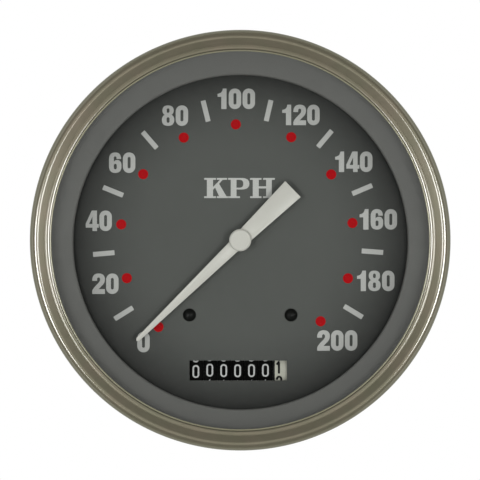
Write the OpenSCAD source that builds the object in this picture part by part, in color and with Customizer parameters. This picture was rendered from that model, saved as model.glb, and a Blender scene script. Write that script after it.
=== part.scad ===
// Round dashboard speedometer, driven by a cable, in millimetres.
// X points right, Z up and Y to the back. The origin lies on the pointer's axis, in the plane of the
// panel's front, just behind the bezel's back edge.

/* [Bezel and glass] */
// Outside diameter of the bezel
bezel_d = 124; // [122:0.5:132]
// Width of the bezel's rim, from its outside to the sight opening
bezel_rim_w = 6.3; // [6.2:0.05:7]
// Thickness of the bezel's sheet metal
bezel_sheet = 0.8; // [0.5:0.1:1]
// Radius of the bezel's rounded crown
crown_r = 1.9; // [1.5:0.1:2.5]
// Slope of the band between the crown and the bead, in degrees
band_slope = 20; // [10:1:28]
// Height of the bead that presses on the glass
bead_h = 1.65; // [1.4:0.05:2.2]
// Radius of the bead's rounded top
bead_r = 0.85; // [0.7:0.05:0.9]
// Thickness of the glass
glass_t = 2.2; // [1.6:0.1:3]
// Thickness of the rubber seal behind the glass
seal_t = 2.3; // [1.6:0.1:3]
// Width of the rubber seal
seal_w = 3.4; // [2:0.1:3.8]

/* [Trim ring and dial] */
// Width of the grey trim ring's face, from the sight opening to the dial
trim_face_w = 6.35; // [5:0.05:8]
// Thickness of the trim ring's sheet
trim_sheet = 0.8; // [0.5:0.1:1]
// How far the trim ring's face falls from rim to opening
trim_fall = 1.55; // [1:0.05:1.8]
// How far the dial's edge reaches under the trim ring
dial_overlap = 2.15; // [1.4:0.05:3]
// Thickness of the dial
dial_t = 1; // [0.6:0.1:1.4]
// Depth of the dial's face behind the panel's front
dial_recess = 2.5; // [2.2:0.1:4]
// Sideways shift of the printed scale and its window from the pointer's axis
print_shift = -0.6; // [-1:0.1:1]
// Distance of each dial screw from the middle, sideways
dial_screw_x = 15; // [12:0.5:16]
// Height of the dial screws above the odometer window's middle
dial_screw_rise = 16.4; // [15.5:0.1:17]
// Diameter of a dial screw's domed head
dial_screw_head_d = 3.9; // [3.4:0.1:4.6]

/* [Odometer window] */
// Width of the window
window_w = 28.8; // [26:0.1:30]
// Height of the window
window_h = 5.9; // [5:0.1:7]
// Height of the window's middle above the dial's lower edge
window_rise = 13; // [11.5:0.1:14]

/* [Pointer] */
// Distance between the pointer's tip and the trim ring
needle_gap = 6.65; // [3:0.05:10]
// Length from the axis to the end of the tail
tail_len = 21.7; // [18:0.1:24]
// Width at the tip
tip_w = 1.2; // [0.8:0.1:2]
// Width of the needle where it meets the hub
needle_root_w = 3.7; // [3:0.1:5]
// Width of the tail where it meets the hub
tail_root_w = 4.7; // [4:0.1:6]
// Width at the end of the tail
tail_end_w = 6.6; // [5:0.1:8]
// Thickness of the blade
blade_t = 0.8; // [0.5:0.1:1.2]
// Height of the blade above the dial
blade_lift = 3; // [2:0.1:3.4]
// Diameter of the round hub cap
hub_cap_d = 6.5; // [6:0.1:8]
// Height of the hub cap above the blade
hub_cap_h = 1.3; // [0.8:0.1:1.6]
// Angle of the resting pointer, clockwise from straight up, in degrees
rest_angle = -134.1; // [-150:0.1:-120]
// Angle between the two stops, in degrees
sweep = 272; // [240:1:285]
// Diameter of the pointer's spindle
spindle_d = 1.2; // [1:0.1:1.6]

/* [Speed movement] */
// Radius of the drag magnet
magnet_r = 12; // [10:0.1:13]
// Thickness of the drag magnet
magnet_t = 2.8; // [2:0.1:4]
// Air gap between the magnet and the speed cup
air_gap = 0.6; // [0.4:0.05:1]
// Wall of the aluminium speed cup
cup_wall = 0.4; // [0.3:0.05:0.8]
// Wall of the steel field cup
field_wall = 1; // [0.8:0.1:1.5]
// Turns of the hairspring
spring_turns = 4.5; // [3.5:1:5.5]
// Thickness of the hairspring's strip
spring_t = 0.2; // [0.15:0.01:0.25]
// Width of the hairspring's strip
spring_h = 0.8; // [0.5:0.1:1.2]
// Outer radius of the hairspring
spring_r = 7; // [6:0.1:8]

/* [Plates and pillars] */
// Length of the posts between the dial and the front plate
post_len = 2.5; // [2.3:0.1:3]
// Thickness of the front plate
plate_t = 1.5; // [1.2:0.1:1.8]
// Thickness of the middle plate
bridge_t = 1.6; // [1.2:0.1:2]
// Thickness of the cast base
base_t = 4; // [3:0.1:6]
// Radius of the cast base
base_r = 24; // [22.5:0.5:27]
// Radius of the circle that the pillars stand on
pillar_circle_r = 20; // [19.5:0.1:20.4]
// Diameter of a pillar
pillar_d = 6; // [5:0.1:6.4]
// Radius of the circle of screws through the back of the case
rear_screw_circle_r = 19; // [18:0.1:20]

/* [Cable drive] */
// Diameter of the drive shaft
shaft_d = 4; // [3.6:0.1:4.4]
// Diameter of the shaft's end that takes the cable's square tip
shaft_end_d = 6; // [5.6:0.1:6.6]
// Width of the square socket for the cable's tip
drive_square = 2.7; // [2.5:0.05:3]
// Depth of the square socket
drive_square_depth = 9; // [7:0.5:12]
// Outside diameter of the threaded nipple
nipple_d = 15.88; // [14:0.02:18]
// Length of the nipple's thread
nipple_len = 12; // [9:0.5:16]
// Diameter of the counterbore in the nipple's mouth
nipple_mouth_d = 9.6; // [8.6:0.1:10.6]
// Depth of that counterbore
nipple_mouth_depth = 6.5; // [5:0.1:8]
// Width across the flats of the nipple's hexagon
nipple_hex = 19; // [18:0.5:22]

/* [Odometer drive] */
// Teeth of the first wheel, driven by the worm on the drive shaft
cross_teeth = 40; // [40]
// Teeth of the second wheel, driven by the worm on the cross shaft
stub_teeth = 25; // [25]
// Module of both worms and their wheels
worm_module = 0.6; // [0.57:0.01:0.62]
// Pitch radius of the worm on the drive shaft
input_worm_r = 3.6; // [3.4:0.05:3.8]
// Pitch radius of the worm on the cross shaft
cross_worm_r = 3.3; // [3.2:0.05:3.5]
// Teeth of each of the two spur gears
spur_teeth = 24; // [24]
// Module of the two spur gears
spur_module = 0.55; // [0.53:0.01:0.57]
// Diameter of the cross shaft and of the stub shaft
train_shaft_d = 3; // [2.6:0.1:3.2]
// Thickness of the worm wheels and spur gears
wheel_t = 1.6; // [1.2:0.1:1.8]

/* [Odometer] */
// Radius of a number drum
drum_r = 7.4; // [7.3:0.05:7.6]
// Distance from one drum to the next
drum_pitch = 4.11; // [4.05:0.01:4.3]
// Number of black drums, which count whole units
black_drums = 6; // [6]
// Middle of the white drum's place in the row, right of the pointer's axis
tenths_x = 11.68; // [11.5:0.01:11.8]
// Width of a drum's numbered band
band_w = 2.9; // [2.7:0.05:2.9]
// Width of the numbered band on the white tenths drum
tenths_band_w = 3.6; // [3.4:0.05:3.8]
// Teeth on the flange of each drum
drum_teeth = 20; // [20]
// Teeth of a transfer pinion
pinion_teeth = 8; // [8]
// Module of the drum flanges and the transfer pinions
carry_module = 0.68; // [0.67:0.01:0.69]
// Diameter of the axle that the drums turn on
drum_axle_d = 2.5; // [2:0.1:3]
// Diameter of the axle that the transfer pinions turn on
pinion_axle_d = 1.5; // [1.2:0.1:2]
// Thickness of the odometer frame's sheet
frame_t = 1.2; // [1:0.1:1.4]

/* [Case] */
// How far the bezel reaches over the panel, past the side of the case
bezel_overhang = 3.6; // [3.2:0.1:4]
// Wall of the drawn steel case
case_wall = 0.8; // [0.6:0.1:1]
// Radius of the rounded corner at the back of the case
case_corner_r = 5; // [3:0.5:7]
// Height of the stiffening ring pressed into the back
back_ring_h = 0.8; // [0.5:0.1:1.5]

/* [Back of the case] */
// Distance of each mounting stud from the middle
stud_x = 33; // [30:0.5:40]
// Diameter of a mounting stud
stud_d = 4.8; // [4:0.1:6]
// Length of a mounting stud behind the case
stud_len = 24; // [16:0.5:30]
// Width across the flats of a stud's nut
nut_hex = 9.5; // [9:0.1:11]
// Height of a stud's nut
nut_h = 3.2; // [2.5:0.1:5]
// Thickness of a stud's washer
washer_t = 1; // [0.8:0.1:1.6]
// Distance of each lamp from the middle, sideways
lamp_x = 22; // [20:0.5:24]
// How much closer the lamps sit to the middle than halfway between the base and the side of the case
lamp_inset = 5.6; // [4:0.1:6]
// Diameter of a lamp holder's flange
lamp_flange_d = 16; // [15:0.5:18]
// Diameter of a lamp's bulb
bulb_d = 10; // [8:0.5:11]
// Width of a lamp's blade terminal
blade_terminal_w = 6.3; // [4.8:0.1:6.5]

/* [Hidden] */
$fn = 72;

// Clearances: a fitted pair, a turning pair, the ends of a turning pair, and an open space
fit_gap = 0.05;
run_gap = 0.08;
end_gap = 0.15;
open_gap = 0.6;
cut = 1;

// Bezel and case radii
bezel_r = bezel_d / 2;
sight_r = bezel_r - bezel_rim_w;
opening_r = sight_r - trim_face_w;
dial_r = opening_r + dial_overlap;
case_r = bezel_r - bezel_overhang;
case_inner_r = case_r - case_wall;
neck_depth = 0.7;
neck_r = case_r - neck_depth;
lip_r = case_r + 0.2;
flange_r = bezel_r - bezel_sheet - 0.3;
glass_r = bezel_r - bezel_sheet - 0.5;
seal_r = glass_r - 0.3;
trim_rim_r = seal_r;

// Levels in front of the panel, each stacked on the one behind it
bezel_back = -0.25;
seat_front = -0.1;
flange_back = bezel_back - bezel_sheet;
flange_front = flange_back - case_wall;
trim_front = flange_front - trim_sheet;
seal_front = trim_front - seal_t;
glass_front = seal_front - glass_t;
bead_front = glass_front - bead_h;

// Bezel section
bead_x = sight_r + bead_r + 0.1;
bead_turn = 20;
groove_r = bead_x + bead_r + 0.1;
groove_step = 0.65;
band_front = bead_front - 0.16;
crown_x = bezel_r - crown_r;
crown_turn = 90 + band_slope;
crown_edge_r = crown_x - crown_r * sin(band_slope);
crown_y = band_front - (crown_edge_r - groove_r) * tan(band_slope) + crown_r * cos(band_slope);

// Levels behind the panel, each stacked on the one before it
dial_front = dial_recess;
dial_back = dial_front + dial_t;
plate_front = dial_back + post_len;
plate_back = plate_front + plate_t;
spring_front = plate_back + 0.4;
spring_back = spring_front + spring_h;
cup_front = spring_back + open_gap;
magnet_front = cup_front + cup_wall + open_gap;
magnet_back = magnet_front + magnet_t;
cup_back = magnet_back + 0.3;
field_floor = cup_back + open_gap;
bridge_front = field_floor + field_wall;
bridge_back = bridge_front + bridge_t;

// Worm gearing: the cross shaft stands upright beside the drive shaft, the stub shaft lies across it
cross_wheel_r = worm_module * cross_teeth / 2;
stub_wheel_r = worm_module * stub_teeth / 2;
tip_add = 1;
root_add = 1.2;
cross_x = cross_wheel_r + input_worm_r;
cross_y = bridge_back + 2.4 + cross_wheel_r + worm_module * tip_add;
web_t = 2;
web_front = cross_y + cross_wheel_r + worm_module * tip_add + 0.8;
base_front = web_front + web_t;
base_back = base_front + base_t;
case_back = base_back + case_wall;
worm_pitch = PI * worm_module;

// Odometer places: the drums lie across, just behind the dial
window_drop = dial_r - window_rise;
dial_screw_drop = window_drop - dial_screw_rise;
drum_y = dial_back + 0.35 + drum_r;
drum_z = -window_drop;
spur_r = spur_module * spur_teeth / 2;
stub_y = cross_y - stub_wheel_r - cross_worm_r;
spur_gap = 0.03;
stub_z = drum_z + sqrt(pow(2 * spur_r + spur_gap, 2) - pow(stub_y - drum_y, 2));
spur_angle = atan2(stub_z - drum_z, stub_y - drum_y);
flange_w = (drum_pitch - band_w - end_gap) / 2;
drum_pitch_r = carry_module * drum_teeth / 2;
pinion_pitch_r = carry_module * pinion_teeth / 2;
carry_gap = 0.05;
pinion_angle = -30;
pinion_y = drum_y + (drum_pitch_r + pinion_pitch_r + carry_gap) * cos(pinion_angle);
pinion_z = drum_z + (drum_pitch_r + pinion_pitch_r + carry_gap) * sin(pinion_angle);
lock_r = drum_pitch_r + 0.1;
drum_carry_turn = 150;
tenths_carry_turn = 100;
first_drum_x = tenths_x - black_drums * drum_pitch;
tenths_left = tenths_x - band_w / 2;
tenths_right = tenths_left + tenths_band_w;
stub_wheel_x = cross_x;
spur_x = cross_x + wheel_t / 2 + wheel_t;
side_left = first_drum_x - band_w / 2 - flange_w - 1;
side_right = spur_x + wheel_t + 1;
apron_bottom = drum_z + drum_r + 0.2;
apron_w = 54;
foot_w = 5;
foot_h = 9;
frame_foot_z = apron_bottom + foot_h / 2;
frame_margin = 2.1;
web_y = pinion_y + pinion_pitch_r + carry_module + frame_t;
web_bottom = drum_z - drum_r - frame_margin;
side_top = stub_z + stub_wheel_r + 0.35;

// Pointer levels and its stops
needle_len = opening_r - needle_gap;
blade_back = dial_front - blade_lift;
blade_front = blade_back - blade_t;
cap_front = blade_front - hub_cap_h;
spindle_r = spindle_d / 2;
spindle_tail = magnet_front - 0.4;
pivot_r = 0.35;
pivot_len = 1;
collet_r = 1.5;
stop_arm_angle = rest_angle + 180;
stop_arm_w = 1.2;
stop_hub_r = 1.9;
stop_arm_len = 8.4;
stop_post_r = 0.8;
stop_circle_r = 7;
stop_gap = 0.04;
stop_lead = asin((stop_arm_w / 2 + stop_post_r + stop_gap) / stop_circle_r);

// Cable nipple
hex_t = 2.5;
spigot_r = 6;
spigot_len = 3;
nipple_back = case_back + hex_t + nipple_len;
shaft_end_back = nipple_back - nipple_mouth_depth - 0.1;
boss_len = 6.2;
boss_w = 2.9;
boss_front = base_front - boss_len;
bush_r = 3.6;
shaft_shoulder = base_back - spigot_len;

module rod_x(y, z, r, x0, x1) {
  translate([x0, y, z]) rotate([0, 90, 0]) cylinder(r = r, h = x1 - x0);
}

module rod_y(x, z, r, y0, y1) {
  translate([x, y0, z]) rotate([-90, 0, 0]) cylinder(r = r, h = y1 - y0);
}

module rod_z(x, y, r, z0, z1) {
  translate([x, y, z0]) cylinder(r = r, h = z1 - z0);
}

// A plate facing the front, drawn as seen from the front
module plate_y(y0, t) {
  translate([0, y0 + t, 0]) rotate([90, 0, 0]) linear_extrude(t) children();
}

// A plate facing sideways, drawn with Y as its first axis and Z as its second
module plate_x(x0, t) {
  translate([x0, 0, 0]) rotate([90, 0, 90]) linear_extrude(t) children();
}

// A form turned about the pointer's axis from points of radius and depth
module turned(points) {
  rotate([-90, 0, 0]) rotate_extrude() polygon(points);
}

// The point at a clock angle on a circle about the pointer's axis
function clock(r, a) = [r * sin(a), r * cos(a)];

function arc(x, y, r, a0, a1, steps) =
  [for (i = [0:steps]) let (a = a0 + (a1 - a0) * i / steps) [x + r * cos(a), y + r * sin(a)]];

// Involute gear outline, with a few points up each flank
pressure_angle = 20;
function involute(a) = tan(a) * 180 / PI - a;
function flank(r, base_r) = r <= base_r ? 0 : involute(acos(base_r / r));
function half_tooth(r, pitch_r, teeth, backlash) =
  90 / teeth - backlash / pitch_r * 90 / PI + involute(pressure_angle)
  - flank(r, pitch_r * cos(pressure_angle));
function tooth_radii(pitch_r, size, tip, root) = [pitch_r - size * root, pitch_r, pitch_r + size * tip];
function gear_points(teeth, size, tip, root, backlash) =
  let (pitch_r = size * teeth / 2, radii = tooth_radii(pitch_r, size, tip, root))
  [for (i = [0:teeth - 1], side = [-1, 1], j = [0:2])
    let (
      r = side < 0 ? radii[j] : radii[2 - j],
      a = i * 360 / teeth + side * half_tooth(r, pitch_r, teeth, backlash)
    )
    [r * cos(a), r * sin(a)]];

module gear_shape(teeth, size, tip = tip_add, root = root_add, backlash = 0.08) {
  polygon(gear_points(teeth, size, tip, root, backlash));
}

// Section across a single-start worm: the radius follows the thread once around, with its crest at zero
worm_steps = 16;
worm_slices = 14;
function worm_radius(u, pitch_r) =
  let (
    tip_r = pitch_r + worm_module * 0.9,
    root_r = pitch_r - worm_module * root_add,
    away = min(u, 1 - u),
    ramp = (away - 0.1) / 0.24
  )
  ramp <= 0 ? tip_r : ramp >= 1 ? root_r : tip_r + (root_r - tip_r) * ramp;

module worm(pitch_r, bore_r, len, hand) {
  turns = len / worm_pitch;
  difference() {
    rotate(-hand * 180 * turns)
      linear_extrude(len, center = true, twist = -hand * 360 * turns, slices = ceil(worm_slices * turns), $fn = 16)
      polygon([for (i = [0:worm_steps - 1])
        let (u = i / worm_steps, r = worm_radius(u, pitch_r)) [r * cos(360 * u), r * sin(360 * u)]]);
    cylinder(r = bore_r / cos(15), h = len + 2 * cut, center = true, $fn = 12);
  }
}

module bezel() {
  color("darkkhaki") turned(concat(
    [[lip_r, bezel_back]],
    arc(bezel_r - bezel_sheet, flange_back, bezel_sheet, 90, 0, 4),
    arc(crown_x, crown_y, crown_r, 0, -crown_turn, 12),
    [[groove_r, band_front], [groove_r - 0.1, band_front + groove_step]],
    arc(bead_x, bead_front + bead_r, bead_r, -bead_turn, -180, 8),
    [[sight_r, bead_front + bead_r + 0.3], [sight_r, glass_front], [groove_r + 0.3, glass_front]],
    [[groove_r + 0.6, band_front + bezel_sheet]],
    arc(crown_x, crown_y, crown_r - bezel_sheet, -crown_turn, 0, 8),
    [[bezel_r - bezel_sheet, flange_back], [lip_r, flange_back]]
  ));
}

module glass_lens() {
  edge = 0.4;
  color("lightcyan", 0.4) turned([
    [0, glass_front], [glass_r - edge, glass_front], [glass_r, glass_front + edge],
    [glass_r, seal_front - edge], [glass_r - edge, seal_front], [0, seal_front]
  ]);
}

module lens_seal() {
  groove = 0.4;
  middle = (seal_front + trim_front) / 2;
  color("dimgray") turned([
    [seal_r - seal_w, seal_front], [seal_r, seal_front], [seal_r, trim_front],
    [seal_r - seal_w, trim_front], [seal_r - seal_w + groove, middle]
  ]);
}

module trim_ring() {
  nose_turn = 104;
  bend_r = seal_r - seal_w - 0.2;
  nose_r = trim_sheet;
  nose_y = trim_front + trim_fall + nose_r;
  hem = 0.85;
  color("gray") turned(concat(
    [[trim_rim_r, trim_front], [bend_r, trim_front]],
    arc(opening_r + nose_r, nose_y, nose_r, -nose_turn, -180, 6),
    [[opening_r, nose_y + hem], [opening_r + trim_sheet, nose_y + hem], [opening_r + trim_sheet, nose_y + 0.05]],
    [[bend_r, flange_front], [trim_rim_r, flange_front]]
  ));
}

module dial_plate() {
  color("dimgray") plate_y(dial_front, dial_t) difference() {
    circle(r = dial_r);
    circle(r = spindle_r + dial_hole_gap);
    translate([print_shift, -window_drop]) square([window_w, window_h], center = true);
    for (side = [-1, 1]) translate([side * dial_screw_x, -dial_screw_drop]) circle(r = dial_screw_r + 0.2);
  }
}
dial_hole_gap = 1.4;
dial_screw_r = 1.2;
post_r = 2.5;
post_neck_r = 1.9;

module dial_screw(x) {
  head_r = dial_screw_head_d / 2;
  dome = head_r * 0.62;
  translate([x, 0, -dial_screw_drop]) turned(concat(
    [[0, dial_front - dome]],
    [for (i = [1:6]) [head_r * sin(15 * i), dial_front - dome * cos(15 * i)]],
    [[dial_screw_r, dial_front], [dial_screw_r, plate_front], [0, plate_front]]
  ));
}

module dial_screws() {
  color("black") for (side = [-1, 1]) dial_screw(side * dial_screw_x);
}

module dial_posts() {
  color("silver") for (side = [-1, 1]) difference() {
    union() {
      rod_y(side * dial_screw_x, -dial_screw_drop, post_r, dial_back, plate_front);
      rod_y(side * dial_screw_x, -dial_screw_drop, post_neck_r, plate_front, plate_back);
    }
    rod_y(side * dial_screw_x, -dial_screw_drop, dial_screw_r + fit_gap, dial_back - cut, plate_back + cut);
  }
}

module case_can() {
  ring_in = lamp_circle_r + lamp_flange_d / 2 + 1.4;
  ring_side = back_ring_h;
  corner_x = case_r - case_corner_r;
  corner_y = case_back - case_corner_r;
  ring_out = corner_x - open_gap;
  color("lightgray") difference() {
    turned(concat(
      [[flange_r, flange_front], [flange_r, flange_back], [neck_r, flange_back], [neck_r, seat_front],
       [case_r, seat_front]],
      arc(corner_x, corner_y, case_corner_r, 0, 90, 8),
      [[ring_out, case_back], [ring_out - ring_side, case_back + back_ring_h]],
      [[ring_in + ring_side, case_back + back_ring_h], [ring_in, case_back], [0, case_back]],
      [[0, base_back], [ring_in + 0.3, base_back], [ring_in + ring_side + 0.3, base_back + back_ring_h]],
      [[ring_out - ring_side - 0.3, base_back + back_ring_h], [ring_out - 0.3, base_back]],
      arc(corner_x, corner_y, case_corner_r - case_wall, 90, 0, 8),
      [[case_inner_r, seat_front + case_wall + neck_depth], [neck_r - case_wall, seat_front + case_wall]],
      [[neck_r - case_wall, flange_front]]
    ));
    rod_y(0, 0, spigot_r + 0.2, base_back - cut, case_back + cut);
    for (side = [-1, 1]) rod_y(side * stud_x, 0, stud_d / 2 + 0.1, base_back - cut, case_back + cut);
    for (side = [-1, 1]) rod_y(side * lamp_x, lamp_rise, holder_r + 0.2, base_back - cut, case_back + cut);
    for (a = [0, 120, 240]) at_clock(rear_screw_circle_r, a)
      rod_y(0, 0, rear_screw_r + 0.2, base_back - cut, case_back + cut);
  }
}

// Puts a piece at a clock angle on a circle about the pointer's axis, without turning it
module at_clock(r, a) {
  p = clock(r, a);
  translate([p[0], 0, p[1]]) children();
}

module front_plate() {
  plate_r = pillar_circle_r + pillar_d / 2 + 1;
  lug_w = 1.2;
  apron_top = -plate_r / 2;
  color("darkgray") {
    difference() {
      plate_y(plate_front, plate_t) difference() {
        union() {
          circle(r = plate_r);
          translate([-apron_w / 2, apron_bottom]) square([apron_w, apron_top - apron_bottom]);
        }
        for (side = [-1, 1]) translate([side * dial_screw_x, -dial_screw_drop]) circle(r = post_neck_r + fit_gap);
        circle(r = bush_seat_r + fit_gap);
      }
      for (a = [60, 180, 300]) at_clock(pillar_circle_r, a)
        rod_y(0, 0, screw_r + fit_gap, plate_front - cut, plate_back + cut);
      for (x = foot_screw_x) rod_y(x, frame_foot_z, screw_r + fit_gap, plate_front - cut, plate_back + cut);
      for (a = stop_angles) at_clock(stop_circle_r, a)
        rod_y(0, 0, stop_post_r - 0.2 + fit_gap, plate_front - cut, plate_back + cut);
      at_clock(spring_stud_circle_r, spring_end_clock)
        rod_y(0, 0, 0.5 + fit_gap, plate_front - cut, plate_back + cut);
    }
    plate_x(stub_lug_x, lug_w) difference() {
      union() {
        translate([plate_back, stub_z - lug_w]) square([stub_y - plate_back, train_shaft_d + lug_w]);
        translate([stub_y, stub_z]) circle(r = train_shaft_d / 2 + lug_w);
      }
      translate([stub_y, stub_z]) circle(r = train_shaft_d / 2 + run_gap);
    }
  }
}
bush_seat_r = 2.2;
screw_r = 1.1;
screw_reach = 4.5;
rear_screw_r = 1.5;
stub_lug_x = cross_x - wheel_t / 2 - 2.4;
foot_reach = [4, 3];
foot_screw_x = [side_left - foot_reach[0], side_right + frame_t + foot_reach[1]];
stop_angles = [stop_arm_angle - stop_lead, stop_arm_angle + sweep + stop_lead];

module spindle_bush() {
  color("goldenrod") turned([
    [spindle_r + run_gap, plate_front - 0.5], [bush_seat_r + 0.8, plate_front - 0.5],
    [bush_seat_r + 0.8, plate_front], [bush_seat_r, plate_front], [bush_seat_r, plate_back],
    [spindle_r + run_gap, plate_back]
  ]);
}

module stop_posts() {
  color("silver") for (a = stop_angles) at_clock(stop_circle_r, a) {
    rod_y(0, 0, stop_post_r, dial_back + 0.3, plate_front);
    rod_y(0, 0, stop_post_r - 0.2, plate_front, plate_back);
  }
}

// The strip's middle line is a spiral in the plane of the dial, from the collet out to the stud
spring_inner_r = collet_r + fit_gap + spring_t / 2;
spring_steps = 20;
spring_end_clock = 90 - 360 * spring_turns;
spring_stud_r = 0.85;
spring_stud_circle_r = spring_r + spring_t / 2 + spring_stud_r;
function spiral_point(i, side) =
  let (
    steps = spring_turns * spring_steps,
    r = spring_inner_r + (spring_r - spring_inner_r) * i / steps + side * spring_t / 2,
    a = 360 * i / spring_steps
  )
  [r * cos(a), r * sin(a)];

module hairspring() {
  steps = spring_turns * spring_steps;
  color("goldenrod") plate_y(spring_front, spring_h) polygon(concat(
    [for (i = [0:steps]) spiral_point(i, -1)],
    [for (i = [0:steps]) spiral_point(steps - i, 1)]
  ));
}

module hairspring_stud() {
  color("goldenrod") at_clock(spring_stud_circle_r, spring_end_clock) {
    rod_y(0, 0, 0.5, plate_front, plate_back);
    rod_y(0, 0, spring_stud_r, plate_back, spring_back);
  }
}

module middle_plate() {
  disc_r = magnet_r + air_gap + cup_wall + open_gap + field_wall + 2;
  arm_w = 8;
  color("darkgray") difference() {
    plate_y(bridge_front, bridge_t) union() {
      circle(r = disc_r);
      for (a = [60, 180, 300]) {
        translate(clock(pillar_circle_r, a)) circle(d = arm_w);
        rotate(-a) translate([-arm_w / 2, 0]) square([arm_w, pillar_circle_r]);
      }
    }
    rod_y(0, 0, bush_r + fit_gap, bridge_front - cut, bridge_back + cut);
    for (a = [60, 180, 300]) at_clock(pillar_circle_r, a)
      rod_y(0, 0, pillar_neck_r + fit_gap, bridge_front - cut, bridge_back + cut);
  }
}
pillar_neck_r = pillar_d / 2 - 0.8;

module field_cup() {
  inner_r = magnet_r + air_gap + cup_wall + open_gap;
  color("slategray") turned([
    [bush_r + fit_gap, field_floor], [inner_r, field_floor], [inner_r, cup_front],
    [inner_r + field_wall, cup_front], [inner_r + field_wall, bridge_front], [bush_r + fit_gap, bridge_front]
  ]);
}

module shaft_bushes() {
  bore_r = shaft_d / 2 + run_gap;
  color("goldenrod") {
    turned([
      [bore_r, field_floor], [bush_r, field_floor], [bush_r, bridge_back],
      [bush_r + 1, bridge_back], [bush_r + 1, bridge_back + 1], [bore_r, bridge_back + 1]
    ]);
    turned([
      [bore_r, boss_front], [bush_r, boss_front], [bush_r, shaft_shoulder - end_gap],
      [bore_r, shaft_shoulder - end_gap]
    ]);
  }
}

module pillars() {
  color("silver") for (a = [60, 180, 300]) at_clock(pillar_circle_r, a) difference() {
    union() {
      rod_y(0, 0, pillar_neck_r, plate_back, bridge_back);
      rod_y(0, 0, pillar_d / 2, bridge_back, base_front);
      rod_y(0, 0, pillar_neck_r, base_front, base_back - 0.5);
    }
    rod_y(0, 0, screw_r + fit_gap, plate_back - cut, plate_back + screw_reach + 0.5);
  }
}

module plate_screw() {
  head_r = 2.2;
  head_h = 1.2;
  slot_w = 0.5;
  difference() {
    turned([
      [0, plate_front - head_h], [head_r - 0.4, plate_front - head_h], [head_r, plate_front - head_h + 0.4],
      [head_r, plate_front], [screw_r, plate_front], [screw_r, plate_back + screw_reach], [0, plate_back + screw_reach]
    ]);
    translate([-head_r - cut, plate_front - head_h - cut, -slot_w / 2])
      cube([2 * (head_r + cut), cut + 0.5, slot_w]);
  }
}

module plate_screws() {
  color("silver") {
    for (a = [60, 180, 300]) at_clock(pillar_circle_r, a) plate_screw();
    for (x = foot_screw_x) translate([x, 0, frame_foot_z]) plate_screw();
  }
}

module base_frame() {
  pocket = 1;
  boss_r = bush_r + boss_w;
  pocket_r = base_r / 2;
  color("gainsboro") difference() {
    turned([
      [bush_r + fit_gap, boss_front], [boss_r, boss_front], [boss_r + pocket / 2, base_front + pocket],
      [pocket_r - pocket, base_front + pocket], [pocket_r, base_front], [base_r - pocket, base_front],
      [base_r, base_front + pocket],
      [base_r, base_back], [bush_r + fit_gap, base_back]
    ]);
    rod_y(0, 0, spigot_r + fit_gap, base_back - spigot_len, base_back + cut);
    for (a = [60, 180, 300]) at_clock(pillar_circle_r, a)
      rod_y(0, 0, pillar_neck_r + fit_gap, base_front - cut, base_back + cut);
    for (a = [0, 120, 240]) at_clock(rear_screw_circle_r, a)
      rod_y(0, 0, rear_screw_r + fit_gap, base_front - cut, base_back + cut);
  }
}

module cable_nipple() {
  bore_r = shaft_end_d / 2 + 0.4;
  edge = 0.6;
  color("silver") {
    turned([
      [bore_r, base_back - spigot_len + 0.1], [spigot_r, base_back - spigot_len + 0.1], [spigot_r, case_back],
      [spigot_r + 0.5, case_back], [spigot_r + 0.5, case_back + hex_t], [nipple_d / 2, case_back + hex_t],
      [nipple_d / 2, nipple_back - edge], [nipple_d / 2 - edge, nipple_back],
      [nipple_mouth_d / 2, nipple_back], [nipple_mouth_d / 2, nipple_back - nipple_mouth_depth],
      [bore_r, nipple_back - nipple_mouth_depth]
    ]);
    plate_y(case_back, hex_t) difference() {
      circle(d = nipple_hex / cos(30), $fn = 6);
      circle(r = spigot_r + 0.5);
    }
  }
}

module cross_shaft_bracket() {
  web_w = 7;
  lug_t = 2;
  top = wheel_t / 2 + 1.2;
  bottom = stub_z - worm_len / 2 - 0.4;
  screw_z = (top + bottom) / 4;
  color("darkgray") difference() {
    union() {
      translate([cross_x - web_w / 2, web_front, bottom - lug_t])
        cube([web_w, web_t, top + 2 * lug_t - bottom]);
      for (z = [bottom - lug_t, top]) {
        translate([cross_x - web_w / 2, cross_y, z]) cube([web_w, base_front - cross_y, lug_t]);
        rod_z(cross_x, cross_y, web_w / 2, z, z + lug_t);
      }
      translate([cross_x - web_w / 2, web_front, top]) cube([web_w, web_t, lug_t]);
    }
    rod_z(cross_x, cross_y, train_shaft_d / 2 + run_gap, bottom - lug_t - cut, top + lug_t + cut);
    rod_y(cross_x, screw_z, rear_screw_r, web_front - cut, base_front + cut);
  }
}
worm_len = 8;

// One side plate of the odometer frame; only the right one also carries the stub shaft
module odometer_side(stub_hole) {
  difference() {
    polygon([
      [plate_back, side_top], [stub_y + 1, side_top], [stub_y + foot_w, stub_z + frame_margin],
      [web_y + frame_t, drum_z + frame_margin], [web_y + frame_t, web_bottom],
      [drum_y - drum_r / 2, web_bottom], [drum_y - drum_r + 1, drum_z - drum_r * 0.6],
      [drum_y - drum_r + 1, drum_z + drum_r * 0.6], [plate_back, apron_bottom - open_gap]
    ]);
    translate([drum_y, drum_z]) circle(r = drum_axle_d / 2 + fit_gap);
    translate([pinion_y, pinion_z]) circle(r = pinion_axle_d / 2 + fit_gap);
    if (stub_hole) translate([stub_y, stub_z]) circle(r = train_shaft_d / 2 + run_gap);
  }
}

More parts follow.
